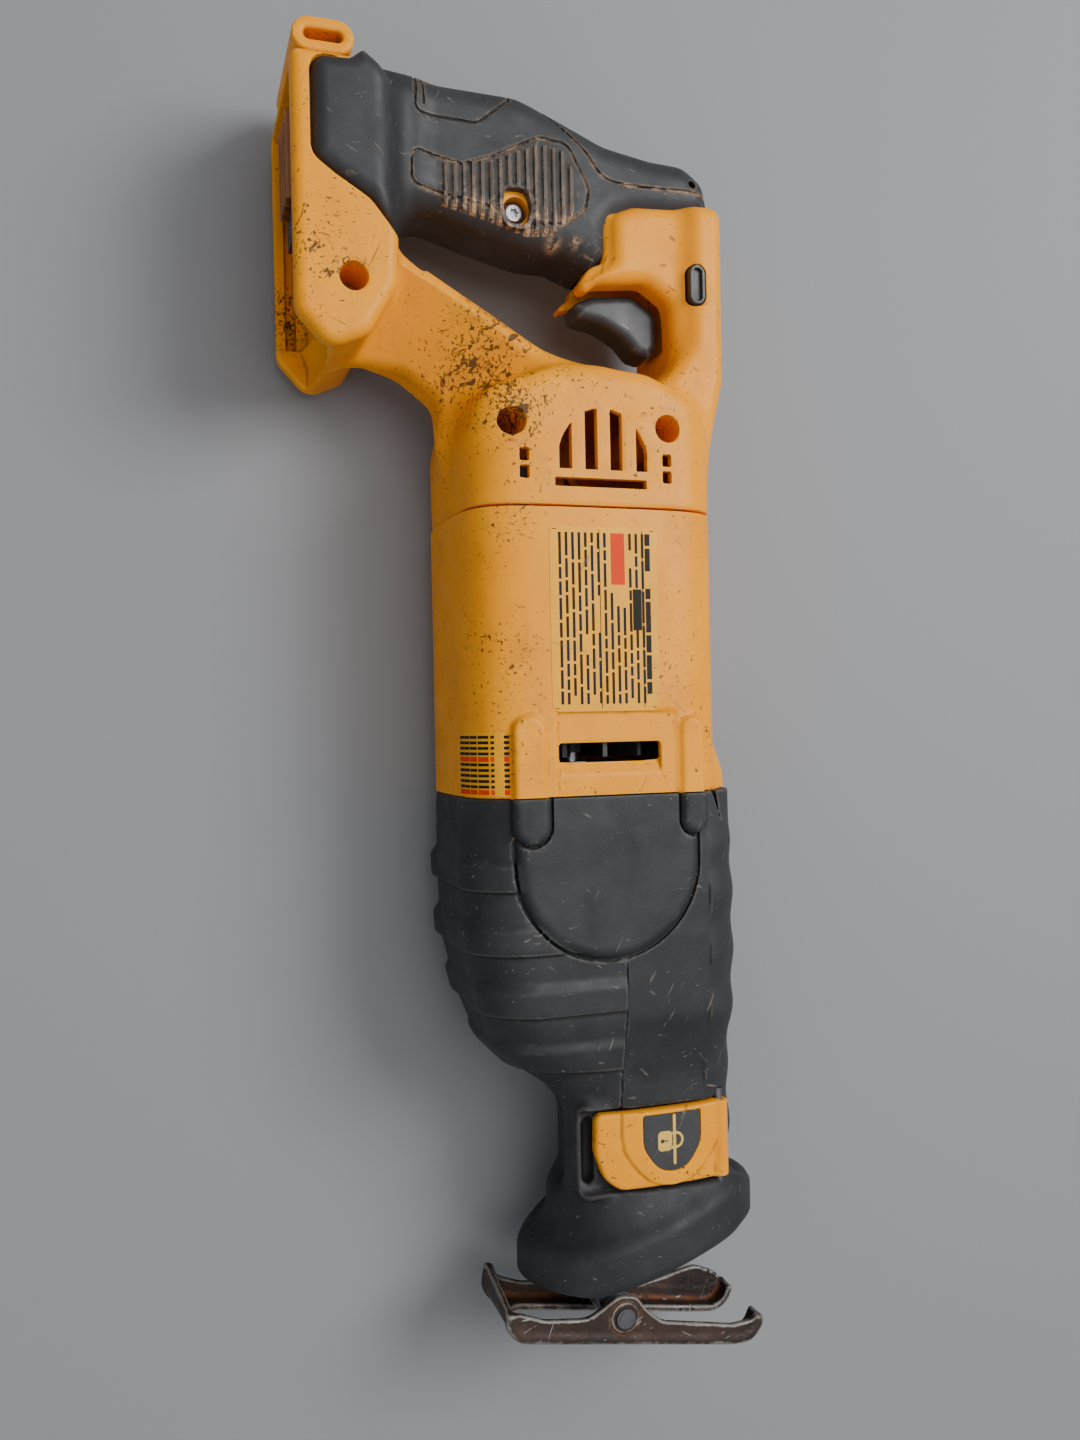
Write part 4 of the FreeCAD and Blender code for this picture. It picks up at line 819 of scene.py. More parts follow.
@dataclass
class ShoeForm:
    """The stamped shoe, drawn square to the tool about its pivot and then turned."""

    pivot: Point = (216.0, 22.0)
    turn: float = math.radians(-10.2)
    half: float = 17.0
    sheet: float = 2.5

    def __post_init__(self) -> None:
        """Build the outlines once."""
        self.cheek = outline((-4.4, -44.4, 0.8), (-4.4, -42.0, 0.8), (-0.4, -39.4, 4), (1.6, -30, 8),
                             (1.0, -14, 8), (-3.5, -8, 6), (-7.4, -3.5, 5), (-7.4, 3.5, 5), (-3, 8, 6),
                             (1.5, 15, 8), (2.5, 44, 6), (0.8, 51.5, 3), (-0.8, 54, 1), (0.4, 56.4, 1.2),
                             (4, 55.5, 3), (9.3, 51, 6), (9.3, -39, 8), (4.4, -44.4, 5))
        self.far_cheek = outline((9.3, 18, 1), (9.3, 52, 7), (3.5, 56.6, 5), (-3.4, 53, 7), (-6.2, 42, 8),
                                 (-1.0, 28, 10), (2.0, 18, 1))
        self.fold = Profile(smooth_path((-4.4, -43.2), (1.5, -43.0), (5.6, -41.0), (7.6, -37.5), (8.05, -33),
                                        (8.05, -20), (8.05, 10), (8.05, 44), (7.2, 50.4), (4.2, 54.0),
                                        (0.2, 55.4)), closed=False)

    def local(self, x: Array, y: Array) -> tuple[Array, Array]:
        """Return coordinates along the shoe's normal and its face."""
        dx, dy = x - self.pivot[0], y - self.pivot[1]
        cosine, sine = math.cos(self.turn), math.sin(self.turn)
        return dx * cosine + dy * sine, dy * cosine - dx * sine

    def field(self, x: Array, y: Array, z: Array) -> Array:
        """Return the whole shoe."""
        u, v = self.local(x, y)
        height = np.abs(z)
        face = self.fold(u, v) - self.sheet / 2
        face = plate(face, height - self.half, 1.1)
        slot = np.maximum(height - 8.2, -36.0 - v)
        slot_round = np.sqrt(np.maximum(-29.0 - v, 0) ** 2 + height ** 2) - 8.2
        face = carve(face, np.maximum(np.where(v < -29, slot_round, slot), -37.5 - v), 1.0)
        cheek = plate(self.cheek(u, v), np.abs(height - (self.half - self.sheet / 2)) - self.sheet / 2, 0.9)
        whole = union(face, cheek, 2.2)
        from_pivot = np.sqrt(u ** 2 + v ** 2)
        rib = plate(from_pivot - 5.4, np.maximum(height - self.half - 0.5, self.half - 1 - height), 0.5)
        whole = union(whole, rib, 1.0)
        side = plate(self.far_cheek(u, v), np.abs(z + self.half - self.sheet / 2) - self.sheet / 2, 0.9)
        whole = union(whole, side, 1.0)
        wall_top = np.maximum(v + 38.0, u + 4.6 - 0.13 * (z + 17.0))
        whole = meet(carve(whole, wall_top, 0.8), x - 233.7, 0.6)
        return carve(whole, np.maximum(from_pivot - 2.55, 10 - height), 0.3)


# ------------------------------------------------------------------ finishes
class Socket(Enum):
    """Kinds of shader group sockets."""

    NUMBER = "NodeSocketFloat"
    COLOUR = "NodeSocketColor"
    VECTOR = "NodeSocketVector"


class Nodes:
    """A short hand for building node trees."""

    def __init__(self, tree: bpy.types.NodeTree) -> None:
        """Keep the tree."""
        self.tree = tree

    def add(self, kind: str, **settings: object) -> bpy.types.Node:
        """Add a node, set its properties, and return it."""
        node = self.tree.nodes.new(kind)
        for name, value in settings.items():
            setattr(node, name, value)
        return node

    def link(self, source: object, target: bpy.types.NodeSocket) -> None:
        """Join a socket to another, or set the target's value."""
        if isinstance(source, bpy.types.NodeSocket):
            self.tree.links.new(source, target)
        else:
            target.default_value = source

    def noise(self, place: object, scale: float, detail: float = 3.0, rough: float = 0.55,
              warp: float = 0.0) -> bpy.types.NodeSocket:
        """Return a noise pattern's value."""
        node = self.add("ShaderNodeTexNoise")
        node.inputs["Scale"].default_value = scale
        node.inputs["Detail"].default_value = detail
        node.inputs["Roughness"].default_value = rough
        node.inputs["Distortion"].default_value = warp
        self.link(place, node.inputs["Vector"])
        return node.outputs["Fac"]

    def span(self, value: object, low: float, high: float, start: float = 0.0,
             end: float = 1.0) -> bpy.types.NodeSocket:
        """Return a value mapped from one range to another, clamped."""
        node = self.add("ShaderNodeMapRange")
        for name, number in (("From Min", low), ("From Max", high), ("To Min", start), ("To Max", end)):
            node.inputs[name].default_value = number
        self.link(value, node.inputs["Value"])
        return node.outputs["Result"]

    def math(self, operation: str, first: object, second: object = 0.0) -> bpy.types.NodeSocket:
        """Return the result of a sum on two values."""
        node = self.add("ShaderNodeMath", operation=operation)
        self.link(first, node.inputs[0])
        self.link(second, node.inputs[1])
        return node.outputs[0]

    def mix(self, share: object, first: object, second: object) -> bpy.types.NodeSocket:
        """Return a mix of two colours."""
        node = self.add("ShaderNodeMix", data_type="RGBA")
        self.link(share, node.inputs[0])
        self.link(first, node.inputs[6])
        self.link(second, node.inputs[7])
        return node.outputs[2]

    def stretch(self, place: object, scale: Sequence[float], turn: float = 0.0) -> bpy.types.NodeSocket:
        """Return coordinates turned and then scaled along each axis."""
        spin = self.add("ShaderNodeVectorRotate", rotation_type="EULER_XYZ")
        spin.inputs["Rotation"].default_value = (0.35 * turn, 0.25 * turn, turn)
        self.link(place, spin.inputs["Vector"])
        place = spin.outputs["Vector"]
        node = self.add("ShaderNodeMapping")
        node.inputs["Scale"].default_value = tuple(scale)
        self.link(place, node.inputs["Vector"])
        return node.outputs["Vector"]


def group(name: str, inputs: dict[str, tuple[Socket, object]], outputs: dict[str, Socket]) -> tuple:
    """Make an empty shader node group.

    Returns:
        The group, its input node and its output node.
    """
    tree = bpy.data.node_groups.new(name, "ShaderNodeTree")
    for label, (kind, value) in inputs.items():
        socket = tree.interface.new_socket(label, in_out="INPUT", socket_type=kind.value)
        if value is not None:
            socket.default_value = value
    for label, kind in outputs.items():
        tree.interface.new_socket(label, in_out="OUTPUT", socket_type=kind.value)
    return tree, tree.nodes.new("NodeGroupInput"), tree.nodes.new("NodeGroupOutput")


class Effects:
    """The shader node groups that several finishes share."""

    def __init__(self) -> None:
        """Build every group once."""
        self.specks = self._specks()
        self.scuffs = self._scuffs()
        self.grain = self._grain()
        self.edges = self._edges()

    def _specks(self) -> bpy.types.NodeTree:
        """Dark grime specks and soft smears, gathered in patches."""
        tree, given, result = group("grime_specks",
                                    {"Vector": (Socket.VECTOR, None), "Amount": (Socket.NUMBER, 0.5),
                                     "Extra": (Socket.NUMBER, 0.0)},
                                    {"Specks": Socket.NUMBER, "Smears": Socket.NUMBER})
        nodes = Nodes(tree)
        place = given.outputs["Vector"]
        patch = nodes.span(nodes.noise(place, 26, 3, 0.6), 0.40, 0.66)
        level = nodes.math("MULTIPLY", patch, given.outputs["Amount"])
        level = nodes.math("ADD", level, given.outputs["Extra"])
        fine = nodes.noise(place, 700, 3, 0.62, 0.5)
        medium = nodes.noise(nodes.stretch(place, (1.0, 1.6, 1.3), 0.6), 170, 4, 0.68, 1.0)
        fine_edge = nodes.math("SUBTRACT", 0.715, nodes.math("MULTIPLY", level, 0.13))
        dots = nodes.span(nodes.math("SUBTRACT", fine, fine_edge), 0.0, 0.04)
        blot_edge = nodes.math("SUBTRACT", 0.75, nodes.math("MULTIPLY", level, 0.15))
        blots = nodes.span(nodes.math("SUBTRACT", medium, blot_edge), 0.0, 0.04)
        nodes.link(nodes.math("MAXIMUM", dots, blots), result.inputs["Specks"])
        smear = nodes.span(nodes.noise(place, 70, 5, 0.65, 0.5), 0.48, 0.75)
        nodes.link(nodes.math("MULTIPLY", smear, nodes.math("ADD", 0.35, level)), result.inputs["Smears"])
        return tree

    def _scuffs(self) -> bpy.types.NodeTree:
        """Thin scratches in several directions."""
        tree, given, result = group("scuffs", {"Vector": (Socket.VECTOR, None), "Amount": (Socket.NUMBER, 0.5)},
                                    {"Scratches": Socket.NUMBER})
        nodes = Nodes(tree)
        total = None
        for turn, scale, edge in ((0.45, 38.0, 0.69), (1.35, 52.0, 0.70), (2.5, 44.0, 0.695),
                                  (1.95, 34.0, 0.70)):
            place = nodes.stretch(given.outputs["Vector"], (1.0, 22.0, 8.0), turn)
            lines = nodes.noise(place, scale, 1.5, 0.5, 0.35)
            part = nodes.span(lines, edge, edge + 0.03)
            gate = nodes.span(nodes.noise(given.outputs["Vector"], 50 + 14 * turn, 2), 0.52, 0.62)
            part = nodes.math("MULTIPLY", part, gate)
            total = part if total is None else nodes.math("MAXIMUM", total, part)
        nodes.link(nodes.math("MULTIPLY", total, given.outputs["Amount"]), result.inputs["Scratches"])
        return tree

    def _grain(self) -> bpy.types.NodeTree:
        """A fine moulded texture for bump."""
        tree, given, result = group("moulded_grain",
                                    {"Vector": (Socket.VECTOR, None), "Size": (Socket.NUMBER, 1.0)},
                                    {"Height": Socket.NUMBER})
        nodes = Nodes(tree)
        scaled = nodes.add("ShaderNodeVectorMath", operation="SCALE")
        nodes.link(given.outputs["Vector"], scaled.inputs[0])
        nodes.link(given.outputs["Size"], scaled.inputs["Scale"])
        fine = nodes.noise(scaled.outputs[0], 1400, 2, 0.5)
        broad = nodes.noise(scaled.outputs[0], 240, 3, 0.5)
        nodes.link(nodes.math("ADD", nodes.math("MULTIPLY", fine, 0.6), nodes.math("MULTIPLY", broad, 0.4)),
                   result.inputs["Height"])
        return tree

    def _edges(self) -> bpy.types.NodeTree:
        """Wear on the convex edges, and painted shade with some dirt in the hollows, from the piece's own edge
        measure.
        """
        tree, given, result = group("edge_wear", {"Vector": (Socket.VECTOR, None), "Edge": (Socket.NUMBER, 0.0),
                                                  "Worn": (Socket.NUMBER, 0.5), "Dusty": (Socket.NUMBER, 0.5)},
                                    {"Worn": Socket.NUMBER, "Dust": Socket.NUMBER})
        nodes = Nodes(tree)
        uneven = nodes.math("SUBTRACT", nodes.noise(given.outputs["Vector"], 210, 4, 0.65, 0.4), 0.5)
        raised = nodes.math("ADD", given.outputs["Edge"], nodes.math("MULTIPLY", uneven, 1.6))
        worn = nodes.span(raised, 0.42, 0.75)
        # Hollow mask: painted shade in creases and recesses; where the finish's hollow colour is lighter than
        # its base, it reads as dirt.
        sunk = nodes.math("ADD", nodes.math("MULTIPLY", given.outputs["Edge"], -1.0),
                          nodes.math("MULTIPLY", uneven, 1.2))
        hollow_shade_and_dirt = nodes.span(sunk, 0.22, 0.62)
        nodes.link(nodes.math("MULTIPLY", worn, given.outputs["Worn"]), result.inputs["Worn"])
        nodes.link(nodes.math("MULTIPLY", hollow_shade_and_dirt, given.outputs["Dusty"]), result.inputs["Dust"])
        return tree


@dataclass(frozen=True)
class Finish:
    """A surface finish: a base colour with wear, dirt, painted shade in the hollows and grain over it."""

    name: str
    colour: tuple[float, float, float]
    tint: tuple[float, float, float]
    # Colour in the hollows: painted shade where it is darker than the base colour, dirt or rust where it is
    # lighter.
    dirt: tuple[float, float, float] = (0.05, 0.03, 0.015)
    scratch: tuple[float, float, float] = (0.2, 0.15, 0.1)
    hollow_shade_and_dirt: tuple[float, float, float] = (0.10, 0.07, 0.045)
    worn: tuple[float, float, float] = (0.5, 0.4, 0.3)
    specks: float = 0.6
    smears: float = 0.3
    scratches: float = 0.6
    hollow_shade_and_dirt_amount: float = 0.5
    wear: float = 0.3
    rough: tuple[float, float] = (0.35, 0.55)
    metallic: float = 0.0
    grain: float = 0.12
    grain_size: float = 1.0
    specular: float = 0.5

    def build(self, effects: Effects) -> bpy.types.Material:
        """Return the finish's material."""
        material = bpy.data.materials.new(self.name)
        material.use_nodes = True
        nodes = Nodes(material.node_tree)
        shader = material.node_tree.nodes["Principled BSDF"]
        place = nodes.add("ShaderNodeTexCoord").outputs["Object"]
        edge = nodes.add("ShaderNodeAttribute", attribute_name="edge").outputs["Fac"]
        grime = nodes.add("ShaderNodeAttribute", attribute_name="grime").outputs["Fac"]
        rub = nodes.add("ShaderNodeAttribute", attribute_name="rub").outputs["Fac"]
        mottle = nodes.span(nodes.noise(place, 38, 4, 0.6), 0.3, 0.72)
        colour = nodes.mix(mottle, (*self.colour, 1), (*self.tint, 1))
        specks = nodes.add("ShaderNodeGroup", node_tree=effects.specks)
        nodes.link(place, specks.inputs["Vector"])
        specks.inputs["Amount"].default_value = self.specks
        nodes.link(grime, specks.inputs["Extra"])
        scuffs = nodes.add("ShaderNodeGroup", node_tree=effects.scuffs)
        nodes.link(place, scuffs.inputs["Vector"])
        scuffs.inputs["Amount"].default_value = self.scratches
        edges = nodes.add("ShaderNodeGroup", node_tree=effects.edges)
        nodes.link(place, edges.inputs["Vector"])
        nodes.link(edge, edges.inputs["Edge"])
        edges.inputs["Worn"].default_value = self.wear
        edges.inputs["Dusty"].default_value = self.hollow_shade_and_dirt_amount
        smeared = nodes.math("MULTIPLY", specks.outputs["Smears"], self.smears)
        colour = nodes.mix(smeared, colour, (*self.dirt, 1))
        # Painted shade: the hollows are mixed towards the hollow colour, which is darker than the base for most
        # finishes.
        colour = nodes.mix(edges.outputs["Dust"], colour, (*self.hollow_shade_and_dirt, 1))
        rubbed = nodes.math("MULTIPLY", rub, nodes.span(nodes.noise(place, 260, 4, 0.7, 0.6), 0.42, 0.56))
        bare = nodes.math("MAXIMUM", edges.outputs["Worn"], rubbed)
        colour = nodes.mix(bare, colour, (*self.worn, 1))
        marked = nodes.math("MULTIPLY", specks.outputs["Specks"], min(1.0, 0.35 + self.specks))
        colour = nodes.mix(marked, colour, (*self.dirt, 1))
        colour = nodes.mix(scuffs.outputs["Scratches"], colour, (*self.scratch, 1))
        nodes.link(colour, shader.inputs["Base Color"])
        haze = nodes.span(nodes.noise(place, 95, 4, 0.6), 0.3, 0.7, *self.rough)
        rough = nodes.math("ADD", haze, nodes.math("MULTIPLY", specks.outputs["Specks"], 0.15))
        rough = nodes.math("ADD", rough, nodes.math("MULTIPLY", edges.outputs["Dust"], 0.15))
        nodes.link(rough, shader.inputs["Roughness"])
        shader.inputs["Metallic"].default_value = self.metallic
        shader.inputs["Specular IOR Level"].default_value = self.specular
        grain = nodes.add("ShaderNodeGroup", node_tree=effects.grain)
        nodes.link(place, grain.inputs["Vector"])
        grain.inputs["Size"].default_value = self.grain_size
        height = nodes.math("SUBTRACT", grain.outputs["Height"],
                            nodes.math("MULTIPLY", scuffs.outputs["Scratches"], 0.9))
        bump = nodes.add("ShaderNodeBump")
        bump.inputs["Strength"].default_value = self.grain
        bump.inputs["Distance"].default_value = 0.0004
        nodes.link(height, bump.inputs["Height"])
        nodes.link(bump.outputs["Normal"], shader.inputs["Normal"])
        return material


# The yellow, rubber, steel, cast and label hollow colours are darker than their bases: painted shade in the
# creases.
YELLOW = Finish("yellow_plastic", (1.0, 0.375, 0.0), (0.93, 0.315, 0.0), dirt=(0.13, 0.055, 0.012),
                scratch=(0.26, 0.10, 0.02), hollow_shade_and_dirt=(0.30, 0.12, 0.0), worn=(1.0, 0.50, 0.04), specks=0.75,
                smears=0.22, scratches=0.75, hollow_shade_and_dirt_amount=0.55, wear=0.2, rough=(0.32, 0.48), grain=0.10, specular=0.2)
RUBBER = Finish("black_rubber", (0.014, 0.015, 0.017), (0.029, 0.030, 0.033), dirt=(0.075, 0.068, 0.058),
                scratch=(0.19, 0.15, 0.11), hollow_shade_and_dirt=(0.012, 0.011, 0.010), worn=(0.10, 0.092, 0.082), specks=0.35,
                smears=0.30, scratches=0.7, hollow_shade_and_dirt_amount=0.7, wear=0.42, rough=(0.50, 0.70), grain=0.24, specular=0.4)
GRIP = Finish("grip_rubber", (0.020, 0.021, 0.023), (0.036, 0.037, 0.039), dirt=(0.08, 0.072, 0.06),
              scratch=(0.22, 0.16, 0.10), hollow_shade_and_dirt=(0.02, 0.016, 0.012), worn=(0.50, 0.31, 0.17), specks=0.3,
              smears=0.28, scratches=0.6, hollow_shade_and_dirt_amount=0.5, wear=0.10, rough=(0.46, 0.66), grain=0.22, specular=0.42)
TRIGGER = Finish("trigger_plastic", (0.026, 0.028, 0.031), (0.045, 0.047, 0.051), dirt=(0.09, 0.08, 0.07),
                 scratch=(0.22, 0.2, 0.17), worn=(0.13, 0.125, 0.115), specks=0.3, smears=0.5, scratches=0.7,
                 wear=0.5, rough=(0.36, 0.52), grain=0.10)
BLACK = Finish("black_plastic", (0.014, 0.014, 0.016), (0.024, 0.024, 0.026), worn=(0.10, 0.10, 0.10),
               rough=(0.35, 0.5), specks=0.2, wear=0.3)
STEEL = Finish("bright_steel", (0.36, 0.36, 0.37), (0.48, 0.48, 0.49), dirt=(0.10, 0.07, 0.045),
               hollow_shade_and_dirt=(0.06, 0.045, 0.03), rough=(0.28, 0.45), metallic=1.0, specks=0.5, hollow_shade_and_dirt_amount=0.8, grain=0.08)
DARK_STEEL = Finish("dark_steel", (0.14, 0.14, 0.15), (0.22, 0.22, 0.23), dirt=(0.08, 0.05, 0.03),
                    hollow_shade_and_dirt=(0.03, 0.02, 0.015), rough=(0.35, 0.55), metallic=1.0, specks=0.5, grain=0.12)
CAST = Finish("cast_aluminium", (0.38, 0.38, 0.39), (0.46, 0.46, 0.47), rough=(0.45, 0.6), metallic=1.0,
              grain=0.4, grain_size=0.5)
COPPER = Finish("copper", (0.55, 0.25, 0.12), (0.65, 0.32, 0.16), rough=(0.3, 0.45), metallic=1.0)
IRON = Finish("iron", (0.08, 0.08, 0.09), (0.12, 0.12, 0.13), rough=(0.5, 0.65), metallic=0.6)
BRONZE = Finish("bronze", (0.42, 0.28, 0.12), (0.5, 0.34, 0.16), rough=(0.35, 0.5), metallic=1.0)
RUST = Finish("rusty_steel", (0.018, 0.017, 0.018), (0.085, 0.046, 0.032), dirt=(0.018, 0.015, 0.014),
              scratch=(0.42, 0.39, 0.36), hollow_shade_and_dirt=(0.20, 0.07, 0.018), worn=(0.36, 0.33, 0.30), specks=1.0,
              smears=0.7, scratches=0.9, hollow_shade_and_dirt_amount=0.75, wear=0.6, rough=(0.42, 0.78), metallic=0.5, grain=0.8,
              grain_size=0.5)
SIGN = Finish("sign_yellow", (0.90, 0.52, 0.005), (0.92, 0.56, 0.01), rough=(0.4, 0.5), specks=0.2)
LABEL = Finish("label_film", (1.0, 0.44, 0.0), (0.92, 0.38, 0.0), dirt=(0.16, 0.07, 0.015), specks=0.5,
               smears=0.4, scratches=0.6, rough=(0.32, 0.44), grain=0.03, specular=0.2, hollow_shade_and_dirt=(0.3, 0.12, 0.0),
               wear=0.0)
INK = Finish("label_ink", (0.010, 0.008, 0.006), (0.022, 0.016, 0.010), specks=0.2, smears=0.0, scratches=0.3,
             hollow_shade_and_dirt_amount=0.0, wear=0.0, rough=(0.5, 0.6), grain=0.02, specular=0.15)
ALERT = replace(INK, name="alert_orange", colour=(0.80, 0.045, 0.0), tint=(0.70, 0.035, 0.0), specks=0.3)


# ------------------------------------------------------------------ assembly
def spots(*marks: tuple[float, float, float, float]) -> Measure:
    """Return a measure that is strongest around some places.

    Args:
        marks: (x, y, reach, strength) of each place.
    """
    def measure(x: Array, y: Array, z: Array) -> Array:
        """Return the measure at each point."""
        total = np.zeros_like(x)
        for spot_x, spot_y, reach, strength in marks:
            total = total + strength * np.exp(-((x - spot_x) ** 2 + (y - spot_y) ** 2) / (2 * reach ** 2))
        return total
    return measure


def one_half(shape: FieldFunction, side: float, gap: float, blend: float) -> FieldFunction:
    """Return one half of a shape that is split along the tool's middle plane.

    Args:
        shape: the whole shape's field.
        side: 1 for the right half, -1 for the left one.
        gap: how far the half stays from the plane.
        blend: how far its edge is rounded.
    """
    def half(x: Array, y: Array, z: Array) -> Array:
        """Return the half's field."""
        return meet(shape(x, y, z), gap - z * side, blend)
    return half


class Workshop:
    """Meshes fields, dresses them and hands them to the frame."""

    EDGE_REACH = 0.9

    def __init__(self) -> None:
        """Make the shared effects."""
        self.effects = Effects()
        self.finishes: dict[str, bpy.types.Material] = {}

    def finish(self, wanted: Finish) -> bpy.types.Material:
        """Return a finish's material, made the first time it is asked for."""
        if wanted.name not in self.finishes:
            self.finishes[wanted.name] = wanted.build(self.effects)
        return self.finishes[wanted.name]

    def edge_measure(self, shape: FieldFunction, points: Array) -> Array:
        """Return how convex (positive) or hollow (negative) the surface is at each point."""
        total = -6.0 * shape(*points.T)
        for axis in range(3):
            shift = np.zeros(3)
            shift[axis] = self.EDGE_REACH
            total = total + shape(*(points + shift).T) + shape(*(points - shift).T)
        return np.clip(total / self.EDGE_REACH, -1, 1)

    def write(self, thing: bpy.types.Object, name: str, values: Array) -> None:
        """Store a number at each vertex."""
        layer = thing.data.attributes.new(name, "FLOAT", "POINT")
        layer.data.foreach_set("value", np.asarray(values, np.float32).ravel())

    def carved(self, name: str, shape: FieldFunction, low: Sequence[float], high: Sequence[float], step: float,
               wanted: Finish, body: str, slot: str, nodes: Sequence[str], sharp: float = 38.0,
               grime: Optional[Measure] = None, rub: Optional[Measure] = None) -> bpy.types.Object:
        """Mesh a field and make it a finished piece.

        Args:
            name: the piece's name.
            shape: its field.
            low: the meshed box's low corner.
            high: the meshed box's high corner.
            step: the grid's step.
            wanted: its finish.
            body: the moving body it rides on.
            slot: not used.
            nodes: the design's nodes that it stands for.
            sharp: the angle above which edges stay crisp, in degrees.
            grime: where dirt gathers.
            rub: where the skin is rubbed through.
        """
        vertices, faces = Mesher(step).mesh(shape, low, high)
        thing = new_object(name, vertices, faces, sharp)
        if len(thing.data.vertices) == len(vertices):
            points = vertices.astype(np.float32)
            self.write(thing, "edge", self.edge_measure(shape, points))
            for label, measure in (("grime", grime), ("rub", rub)):
                if measure is not None:
                    self.write(thing, label, measure(*points.T))
        return self.hand_over(thing, wanted, body, slot, nodes)

    def hand_over(self, thing: bpy.types.Object, wanted: Finish, body: str, slot: str,
                  nodes: Sequence[str]) -> bpy.types.Object:
        """Dress a piece, hang it on its moving body and hide the design's nodes that it stands for."""
        thing.data.materials.clear()
        thing.data.materials.append(self.finish(wanted))
        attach(thing, body)
        if nodes:
            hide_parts(*nodes)
        LOG.info("%s: %d faces", thing.name, len(thing.data.polygons))
        return thing

    def slabs(self, name: str, boxes: Sequence[tuple], wanted: Finish, body: str,
              slot: str) -> bpy.types.Object:
        """Make one piece of thin printed bars.

        Args:
            name: the piece's name.
            boxes: the eight corners of each bar, low face first.
        """
        vertices, faces = [], []
        for corners in boxes:
            base = len(vertices)
            vertices.extend(corners)
            for quad in ((3, 2, 1, 0), (4, 5, 6, 7), (0, 1, 5, 4), (1, 2, 6, 5), (2, 3, 7, 6), (3, 0, 4, 7)):
                faces.append([base + item for item in quad])
        thing = new_object(name, np.array(vertices, float), np.array(faces), 30.0)
        return self.hand_over(thing, wanted, body, slot, [])


@dataclass
class HandleAssembly:
    """The handle's shells, rubber, screws and button."""

    shop: Workshop
    form: HandleForm
    step: float = 0.85
    well_screw_top: float = 15.2
    grip_screw_top: float = 11.8

    def build(self) -> None:
        """Build every piece of the handle."""
        form, shop = self.form, self.shop
        dirt = spots((-100, -20, 9, 0.8), (-100, 36, 7, 0.5), (-108, 10, 12, 0.55), (-145, -71, 9, 0.4),
                     (-135, -35, 14, 0.5), (-120, -22, 14, 0.6), (-74, 10, 5, 0.4), (-150, -86, 9, 0.9),
                     (-200, -86, 12, 0.5), (-126, 60, 8, 0.4))
        for name, side in (("right", 1.0), ("left", -1.0)):
            heights = sorted((-2 * side, 43 * side))
            shop.carved("handle_" + name, one_half(partial(form.shell, side=side), side, 0.12, 0.4),
                        (-236, -94, heights[0]), (-70, 70, heights[1]), self.step, YELLOW, "saw",
                        "yellow_shell", ["handle_shell_" + name], grime=dirt)
        shop.carved("grip_rubber", form.cover, (-238, -88, -38), (-160, 70, 38), 0.62, GRIP, "saw",
                    "black_rubber", ["grip_cover_right", "grip_cover_left", "foot_pad_right", "foot_pad_left"],
                    rub=self.rubbed)
        shop.carved("lock_button", form.button, (-166, 51, -24.5), (-148, 61, 24.5), 0.4, BLACK, "lock_off",
                    "black_plastic", ["lock_off_button"])
        self.screws()

    def rubbed(self, x: Array, y: Array, z: Array) -> Array:
        """Return where the grip's rubber is rubbed through to its tan backing."""
        form = self.form
        rib = 1 - ramp(np.abs(form.ribs(x, y)), 0.0, 0.7)
        low_end = ramp(x, -186, -176) + 0.25
        line = 1 - ramp(form.cap_line(x, y), 0.3, 0.9)
        seam = 1 - ramp(np.abs(form.rib_panel(x, y)), 0.3, 0.8)
        patch = spots((-170.5, 4, 1.6, 0.9), (-171, 12, 1.3, 0.8), (-221, -44, 1.2, 0.8))(x, y, z)
        front = ramp(z, 4, 9)
        return np.clip((rib * low_end + 0.6 * line * ramp(y, 8, 20) + 0.45 * seam + patch) * front, 0, 1)

    def screws(self) -> None:
        """Set the star-drive screws in their wells with geometry nodes."""
        pattern = Screw().pattern(self.shop)
        places = [(*spot, self.well_screw_top) for spot in self.form.wells]
        places.append((*self.form.grip_screw, self.grip_screw_top))
        host = point_cloud("handle_screws_seen", places)
        Scatter("screw_scatter").apply(host, pattern, self.shop.finish(STEEL), seed=7)
        self.shop.hand_over(host, STEEL, "saw", "screw_steel", ["handle_screws"])


@dataclass(frozen=True)
class Screw:
    """A pan-head screw with a six-lobed socket."""

    radius: float = 3.3
    height: float = 2.2
    socket: float = 1.45

    def pattern(self, shop: Workshop) -> bpy.types.Object:
        """Return the screw as an object that instances can copy, in metres about its head."""
        def shape(x: Array, y: Array, z: Array) -> Array:
            """Return the screw's field, its head's top at zero."""
            radial = np.sqrt(x ** 2 + y ** 2)
            angle = np.arctan2(y, x)
            head = plate(radial - self.radius, np.abs(z + self.height / 2) - self.height / 2, 0.55)
            lobes = radial - self.socket * (1 + 0.16 * np.cos(6 * angle))
            body = carve(head, np.maximum(lobes, -1.5 - z), 0.15)
            shank = np.maximum(radial - 1.8, np.abs(z + 5.5) - 4.0)
            return union(body, shank, 0.2)

        vertices, faces = Mesher(0.22).mesh(shape, (-4, -4, -10), (4, 4, 0.8))
        mesh = bpy.data.meshes.new("screw_pattern")
        mesh.from_pydata((vertices * MM).tolist(), [], faces.tolist())
        mesh.shade_smooth()
        mesh.set_sharp_from_angle(angle=math.radians(35))
        return bpy.data.objects.new("screw_pattern", mesh)


def point_cloud(name: str, places: Sequence[Sequence[float]]) -> bpy.types.Object:
    """Return a mesh of loose points in the frame, from places in millimetres."""
    mesh = bpy.data.meshes.new(name)
    mesh.from_pydata(DATUM.place(np.array(places, float)).tolist(), [], [])
    thing = bpy.data.objects.new(name, mesh)
    bpy.context.scene.collection.objects.link(thing)
    return thing


